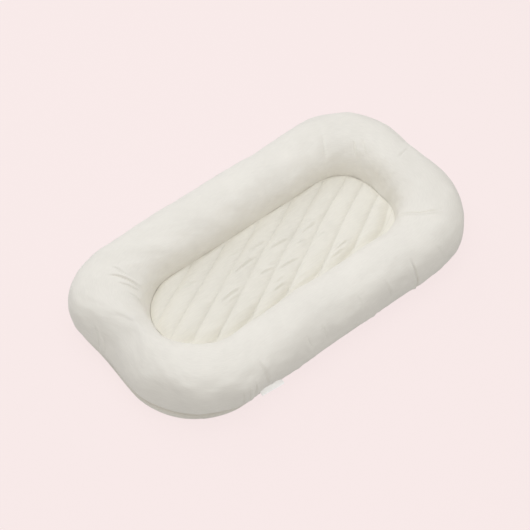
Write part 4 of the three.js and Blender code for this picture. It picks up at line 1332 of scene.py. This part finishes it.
def coil_points(low, high, side, pitch):
    """Loops of one zip coil: a monofilament bent round in an oval at each turn.

    Each loop is a closed tube whose middle line is an oval in the Y-Z plane, leaning along X, so
    that the heads lie at the slit and the backs at the sewn edge.
    """
    count = int((high[0] - low[0] - 1.2) / pitch)
    thick = 0.34
    loop = np.arange(16) * TAU / 16
    ring = np.arange(6) * TAU / 6
    y_half, z_half = (high[1] - low[1]) / 2 - thick, (high[2] - low[2]) / 2 - thick
    middle_y, middle_z = (high[1] + low[1]) / 2, (high[2] + low[2]) / 2
    head = np.cos(loop) * side * -1
    centre = np.stack([0.22 * pitch * np.sin(loop), y_half * np.sin(loop), z_half * head], axis=1)
    across = unit(np.stack([0 * loop, np.sin(loop) / y_half, head / z_half], axis=1))
    x_axis = np.array([1.0, 0, 0])
    tube = (centre[:, None] + thick * (np.cos(ring)[None, :, None] * across[:, None]
                                       + np.sin(ring)[None, :, None] * x_axis))
    start = low[0] + 0.6 + (np.arange(count) + (0.25 if side > 0 else 0.75)) * pitch
    shift = np.stack([start, np.full(count, middle_y), np.full(count, middle_z)], axis=1)
    points = shift[:, None, None] + tube[None]
    quads, _ = grid_faces(16, 6, True, True)
    if volume(tube.reshape(-1, 3), [quads]) < 0:
        quads = quads[:, ::-1]
    faces = (quads[None] + (np.arange(count) * 96)[:, None, None]).reshape(-1, 4)
    return points.reshape(-1, 3), [faces]


class BuildZip(bpy.types.Operator):
    """Build the zip: its tapes, coils, stops and end patches, and the slider with its pull"""
    bl_idname = "lounger.build_zip"
    bl_label = "Zip"

    def execute(self, context):
        settings = context.scene.lounger_trim
        strips = []
        for side, word in ((1, "upper"), (-1, "lower")):
            low, high = node_box(f"zip_tape_{word}")
            x = np.linspace(low[0], high[0], 150)
            profile = np.array([[0, 0], [0, 0.25], [0, 0.5], [0, 0.75], [0, 1], [1, 1], [1, 0.75],
                                [1, 0.5], [1, 0.25], [1, 0]])
            corners = low[1:] + profile * (high - low)[1:]
            points = np.zeros((len(x), len(profile), 3))
            points[..., 0] = x[:, None]
            points[..., 1:] = corners[None]
            points[..., 1] += 0.12 * soft_noise(x / 9, 0 * x, 61 + side)[:, None]
            quads, _ = grid_faces(len(x), len(profile), False, True)
            ends = np.array([[0, 1, 8, 9], [1, 2, 7, 8], [2, 3, 6, 7], [3, 4, 5, 6]])
            far = ends + (len(x) - 1) * len(profile)
            faces = np.concatenate([quads, ends[:, ::-1], far])
            if volume(points.reshape(-1, 3), [faces]) < 0:
                faces = faces[:, ::-1]
            strips.append((points.reshape(-1, 3), faces))
        tapes = place("zip_tapes_woven", make_mesh("zip_tapes_woven", *join_parts(strips)),
                      zip_tape_weave())
        settle(tapes, "lounger", "zip_tape", "zip_tape_upper", "zip_tape_lower")
        for side, word in ((1, "upper"), (-1, "lower")):
            low, high = node_box(f"zip_coil_{word}")
            points, faces = coil_points(low, high, side, settings.coil_pitch / MM)
            coil = place(f"zip_coil_{word}_turns", make_mesh(f"zip_coil_{word}_turns", points,
                                                             faces), nylon_coil())
            settle(coil, "lounger", "zip_coil", f"zip_coil_{word}")
        for word in ("closed", "open"):
            low, high = node_box(f"zip_stop_{word}")
            stop = grid_piece(f"zip_stop_{word}_moulded", rounded_box(low, high, 5), nylon_coil(),
                              wrap=(False, True), caps=True)
            settle(stop, "lounger", "zip_coil", f"zip_stop_{word}")
            low, high = node_box(f"zip_patch_{word}")
            patch = grid_piece(f"zip_patch_{word}_cloth", rounded_box(low, high, 9, 14, 40),
                               base_drill(), wrap=(False, True), caps=True)
            settle(patch, "lounger", "cotton_base", f"zip_patch_{word}")
        for node, body in (("zip_slider", "slider"), ("zip_pull", "pull")):
            settle(softened_copy(node, 0.28), body, "zip_metal", node)
        return {"FINISHED"}


def softened_copy(node, radius):
    """A merged copy of a rigid CAD node with its flat faces joined and its edges rounded."""
    source = bpy.data.objects[node]
    piece = source.copy()
    piece.data = source.data.copy()
    piece.name = piece.data.name = node + "_cast"
    piece.parent = None
    bpy.context.scene.collection.objects.link(piece)
    weld = piece.modifiers.new("Weld", "WELD")
    weld.merge_threshold = 0.01 * MM
    flat = piece.modifiers.new("Flat faces", "DECIMATE")
    flat.decimate_type = "DISSOLVE"
    flat.angle_limit = math.radians(2)
    bevel = piece.modifiers.new("Cast edges", "BEVEL")
    bevel.width = radius * MM
    bevel.segments = 3
    bevel.limit_method = "ANGLE"
    bevel.angle_limit = math.radians(35)
    bevel.use_clamp_overlap = True
    bevel.harden_normals = True
    piece.data.materials.clear()
    piece.data.materials.append(lacquered_zinc())
    return piece


def label_points(start, end, drop, tilt, curl, wave_seed):
    """A strip folded in two, sewn in along a line of the seam.

    tilt turns its fold from straight down to straight out. The profile runs along the front
    leaf to the fold, round it and back along the other leaf. The fold curls by the curl, and
    the leaves wave a little along their width.
    """
    width = np.linalg.norm(end - start)
    along = (end - start) / width
    out = np.array([along[1], -along[0], 0.0])
    down = np.array([out[0] * math.sin(tilt), out[1] * math.sin(tilt), -math.cos(tilt)])
    face = np.array([out[0] * math.cos(tilt), out[1] * math.cos(tilt), math.sin(tilt)])
    t = np.linspace(0, 1, 14)
    fold_turn = np.linspace(0, math.pi, 9)[1:-1]
    radius = (LABEL_GAP + LABEL_LEAF) / 2
    straight = drop - radius
    v = np.concatenate([t * straight, straight + radius * np.sin(fold_turn),
                        (t * straight)[::-1]])
    w = np.concatenate([0 * t + radius, radius * np.cos(fold_turn), 0 * t - radius])
    x = np.linspace(0, width, 40)
    x_grid, v_grid = np.meshgrid(x, v, indexing="ij")
    w_grid = np.broadcast_to(w, x_grid.shape)
    sway = curl * (v_grid / drop) ** 2 * (0.6 + 0.6 * soft_noise(x_grid / 23, 0 * x_grid, wave_seed))
    return (start + x_grid[..., None] * along + v_grid[..., None] * down
            + (w_grid + sway)[..., None] * face)


class BuildLabels(bpy.types.Operator):
    """Build the two bare folded labels that are sewn into the base seam"""
    bl_idname = "lounger.build_labels"
    bl_label = "Labels"

    def execute(self, context):
        settings = context.scene.lounger_trim
        low, high = node_box("care_label")
        for node, start, end, drop, tilt, seed in (
                ("side_label", *SIDE_LABEL_SEAM, 14.6, 90, 71),
                ("care_label", (high[0], low[1] + 0.75, high[2] - 0.2),
                 (low[0], low[1] + 0.75, high[2] - 0.2), 16.6, 20, 72)):
            start, end = np.array(start), np.array(end)
            points = label_points(start, end, drop, math.radians(tilt),
                                  settings.label_curl / MM, seed)
            # The side label's satin gives off a painted glow, so that it stays white in the ring's
            # shade
            satin = label_satin(node == "side_label")
            label = grid_piece(node + "_satin", points, satin, wrap=(False, False), flip=True)
            solid_cloth(label, LABEL_LEAF, offset=0)
            settle(label, "lounger", "label", node)
        return {"FINISHED"}


class BuildStage(bpy.types.Operator):
    """Build the floor, the studio light and the camera"""
    bl_idname = "lounger.build_stage"
    bl_label = "Stage"

    def execute(self, context):
        stage = context.scene.lounger_stage
        backdrop = (*stage.backdrop, 1.0)
        mesh = bpy.data.meshes.new("floor")
        reach = 30.0
        mesh.from_pydata([(-reach, -reach, 0), (reach, -reach, 0), (reach, reach, 0),
                          (-reach, reach, 0)], [], [(0, 1, 2, 3)])
        floor = place("floor", mesh, floor_paper(backdrop))
        floor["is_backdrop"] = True

        world = bpy.data.worlds.new("Studio")
        world.use_nodes = True
        context.scene.world = world
        tree = world.node_tree
        tree.nodes.clear()
        path = add_node(tree, "LightPath").outputs
        seen = add_node(tree, "Background", {"Color": backdrop, "Strength": 1.0})
        sky = add_node(tree, "Background", {"Color": linear("#fffbf7"), "Strength": stage.sky})
        mirror = add_node(tree, "Math", {0: path["Is Camera Ray"], 1: path["Is Glossy Ray"]},
                          operation="MAXIMUM")
        through = add_node(tree, "Math", {0: mirror, 1: path["Is Transmission Ray"]},
                           operation="MAXIMUM")
        both = add_node(tree, "MixShader", {0: through, 1: sky, 2: seen})
        add_node(tree, "OutputWorld", {"Surface": both})

        for name, power, colour, place_at in (
                ("softbox_overhead", stage.softbox, "#f7fbff", (0, 0, 1.9)),
                ("softbox_far", stage.far_light, "#f1f5ff", (0, 1.7, 1.5))):
            light = bpy.data.lights.new(name, "AREA")
            light.shape = "SQUARE"
            light.size = 1.4
            light.energy = power
            light.color = linear(colour)[:3]
            lamp = bpy.data.objects.new(name, light)
            lamp.location = place_at
            lamp.rotation_mode = "QUATERNION"
            lamp.rotation_quaternion = (-Vector(place_at)).to_track_quat("-Z", "Y")
            context.scene.collection.objects.link(lamp)
            lamp.visible_camera = False

        azimuth, elevation = stage.azimuth, stage.elevation
        back = Vector((math.sin(azimuth) * math.cos(elevation),
                       -math.cos(azimuth) * math.cos(elevation), math.sin(elevation)))
        right = Vector((math.cos(azimuth), math.sin(azimuth), 0))
        up = back.cross(right)
        camera = bpy.data.objects.new("camera", bpy.data.cameras.new("camera"))
        camera.data.sensor_width = 36
        camera.data.lens = stage.focal_length
        camera.data.clip_end = 200
        turn = Matrix((right, up, back)).transposed().to_4x4()
        shift_right, shift_up = 0.01876, -0.01604
        spot = back * stage.distance - right * shift_right - up * shift_up
        camera.matrix_world = Matrix.Translation(spot) @ turn
        context.scene.collection.objects.link(camera)
        context.scene.camera = camera
        context.scene.view_settings.view_transform = "Standard"
        return {"FINISHED"}


def floor_paper(colour):
    """Seamless paper: an even colour that takes a faint shadow.

    The camera sees mostly the paper's own even colour. Other rays meet a neutral matt floor, so
    that no pink light reaches the cloth from below.
    """
    material, tree = new_material("Seamless paper")
    tree.nodes.clear()
    place_on = add_node(tree, "TexCoord").outputs["Object"]
    grain = add_node(tree, "TexNoise", {"Vector": place_on, "Scale": 300.0, "Detail": 2.0})
    bump = add_node(tree, "Bump", {"Height": grain, "Strength": 0.05, "Distance": 0.1 * MM})
    path = add_node(tree, "LightPath")
    even = add_node(tree, "Emission", {"Color": colour, "Strength": 1.0})
    lit = add_node(tree, "BsdfDiffuse", {"Color": colour, "Normal": bump})
    neutral = add_node(tree, "BsdfDiffuse", {"Color": (0.78, 0.78, 0.78, 1.0)})
    seen = add_node(tree, "MixShader", {0: 0.09, 1: even, 2: lit})
    both = add_node(tree, "MixShader", {0: path, 1: neutral, 2: seen})
    add_node(tree, "OutputMaterial", {"Surface": both})
    return material


class LoungerPanel(bpy.types.Panel):
    """Lists the sizes, the colours and the steps that build the lounger"""
    bl_idname = "LOUNGER_PT_panel"
    bl_label = "Infant lounger"
    bl_space_type = "VIEW_3D"
    bl_region_type = "UI"
    bl_category = "Lounger"

    def draw(self, context):
        layout = self.layout
        for title, group in SETTINGS.items():
            box = layout.box()
            box.label(text=title.replace("lounger_", "").capitalize())
            values = getattr(context.scene, title)
            for name in group.__annotations__:
                box.prop(values, name)
        for operator in BUILDERS:
            layout.operator(operator.bl_idname)


SETTINGS = {"lounger_ring": LoungerRing, "lounger_pad": LoungerPad, "lounger_trim": LoungerTrim,
            "lounger_colours": LoungerColours, "lounger_stage": LoungerStage}
BUILDERS = (BuildRing, BuildPad, BuildBase, BuildZip, BuildLabels, BuildStage)


def register():
    for group in (*SETTINGS.values(), *BUILDERS, LoungerPanel):
        bpy.utils.register_class(group)
    for name, group in SETTINGS.items():
        setattr(bpy.types.Scene, name, PointerProperty(type=group))


def unregister():
    for name in SETTINGS:
        delattr(bpy.types.Scene, name)
    for group in reversed((*SETTINGS.values(), *BUILDERS, LoungerPanel)):
        bpy.utils.unregister_class(group)


def main():
    register()
    bpy.ops.lounger.build_ring()
    bpy.ops.lounger.build_pad()
    bpy.ops.lounger.build_base()
    bpy.ops.lounger.build_zip()
    bpy.ops.lounger.build_labels()
    bpy.ops.lounger.build_stage()
    bpy.context.view_layer.update()
    {"cad": CAD_BOX, "visual": [list(corner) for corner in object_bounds()]}


if __name__ == "__main__":
    main()
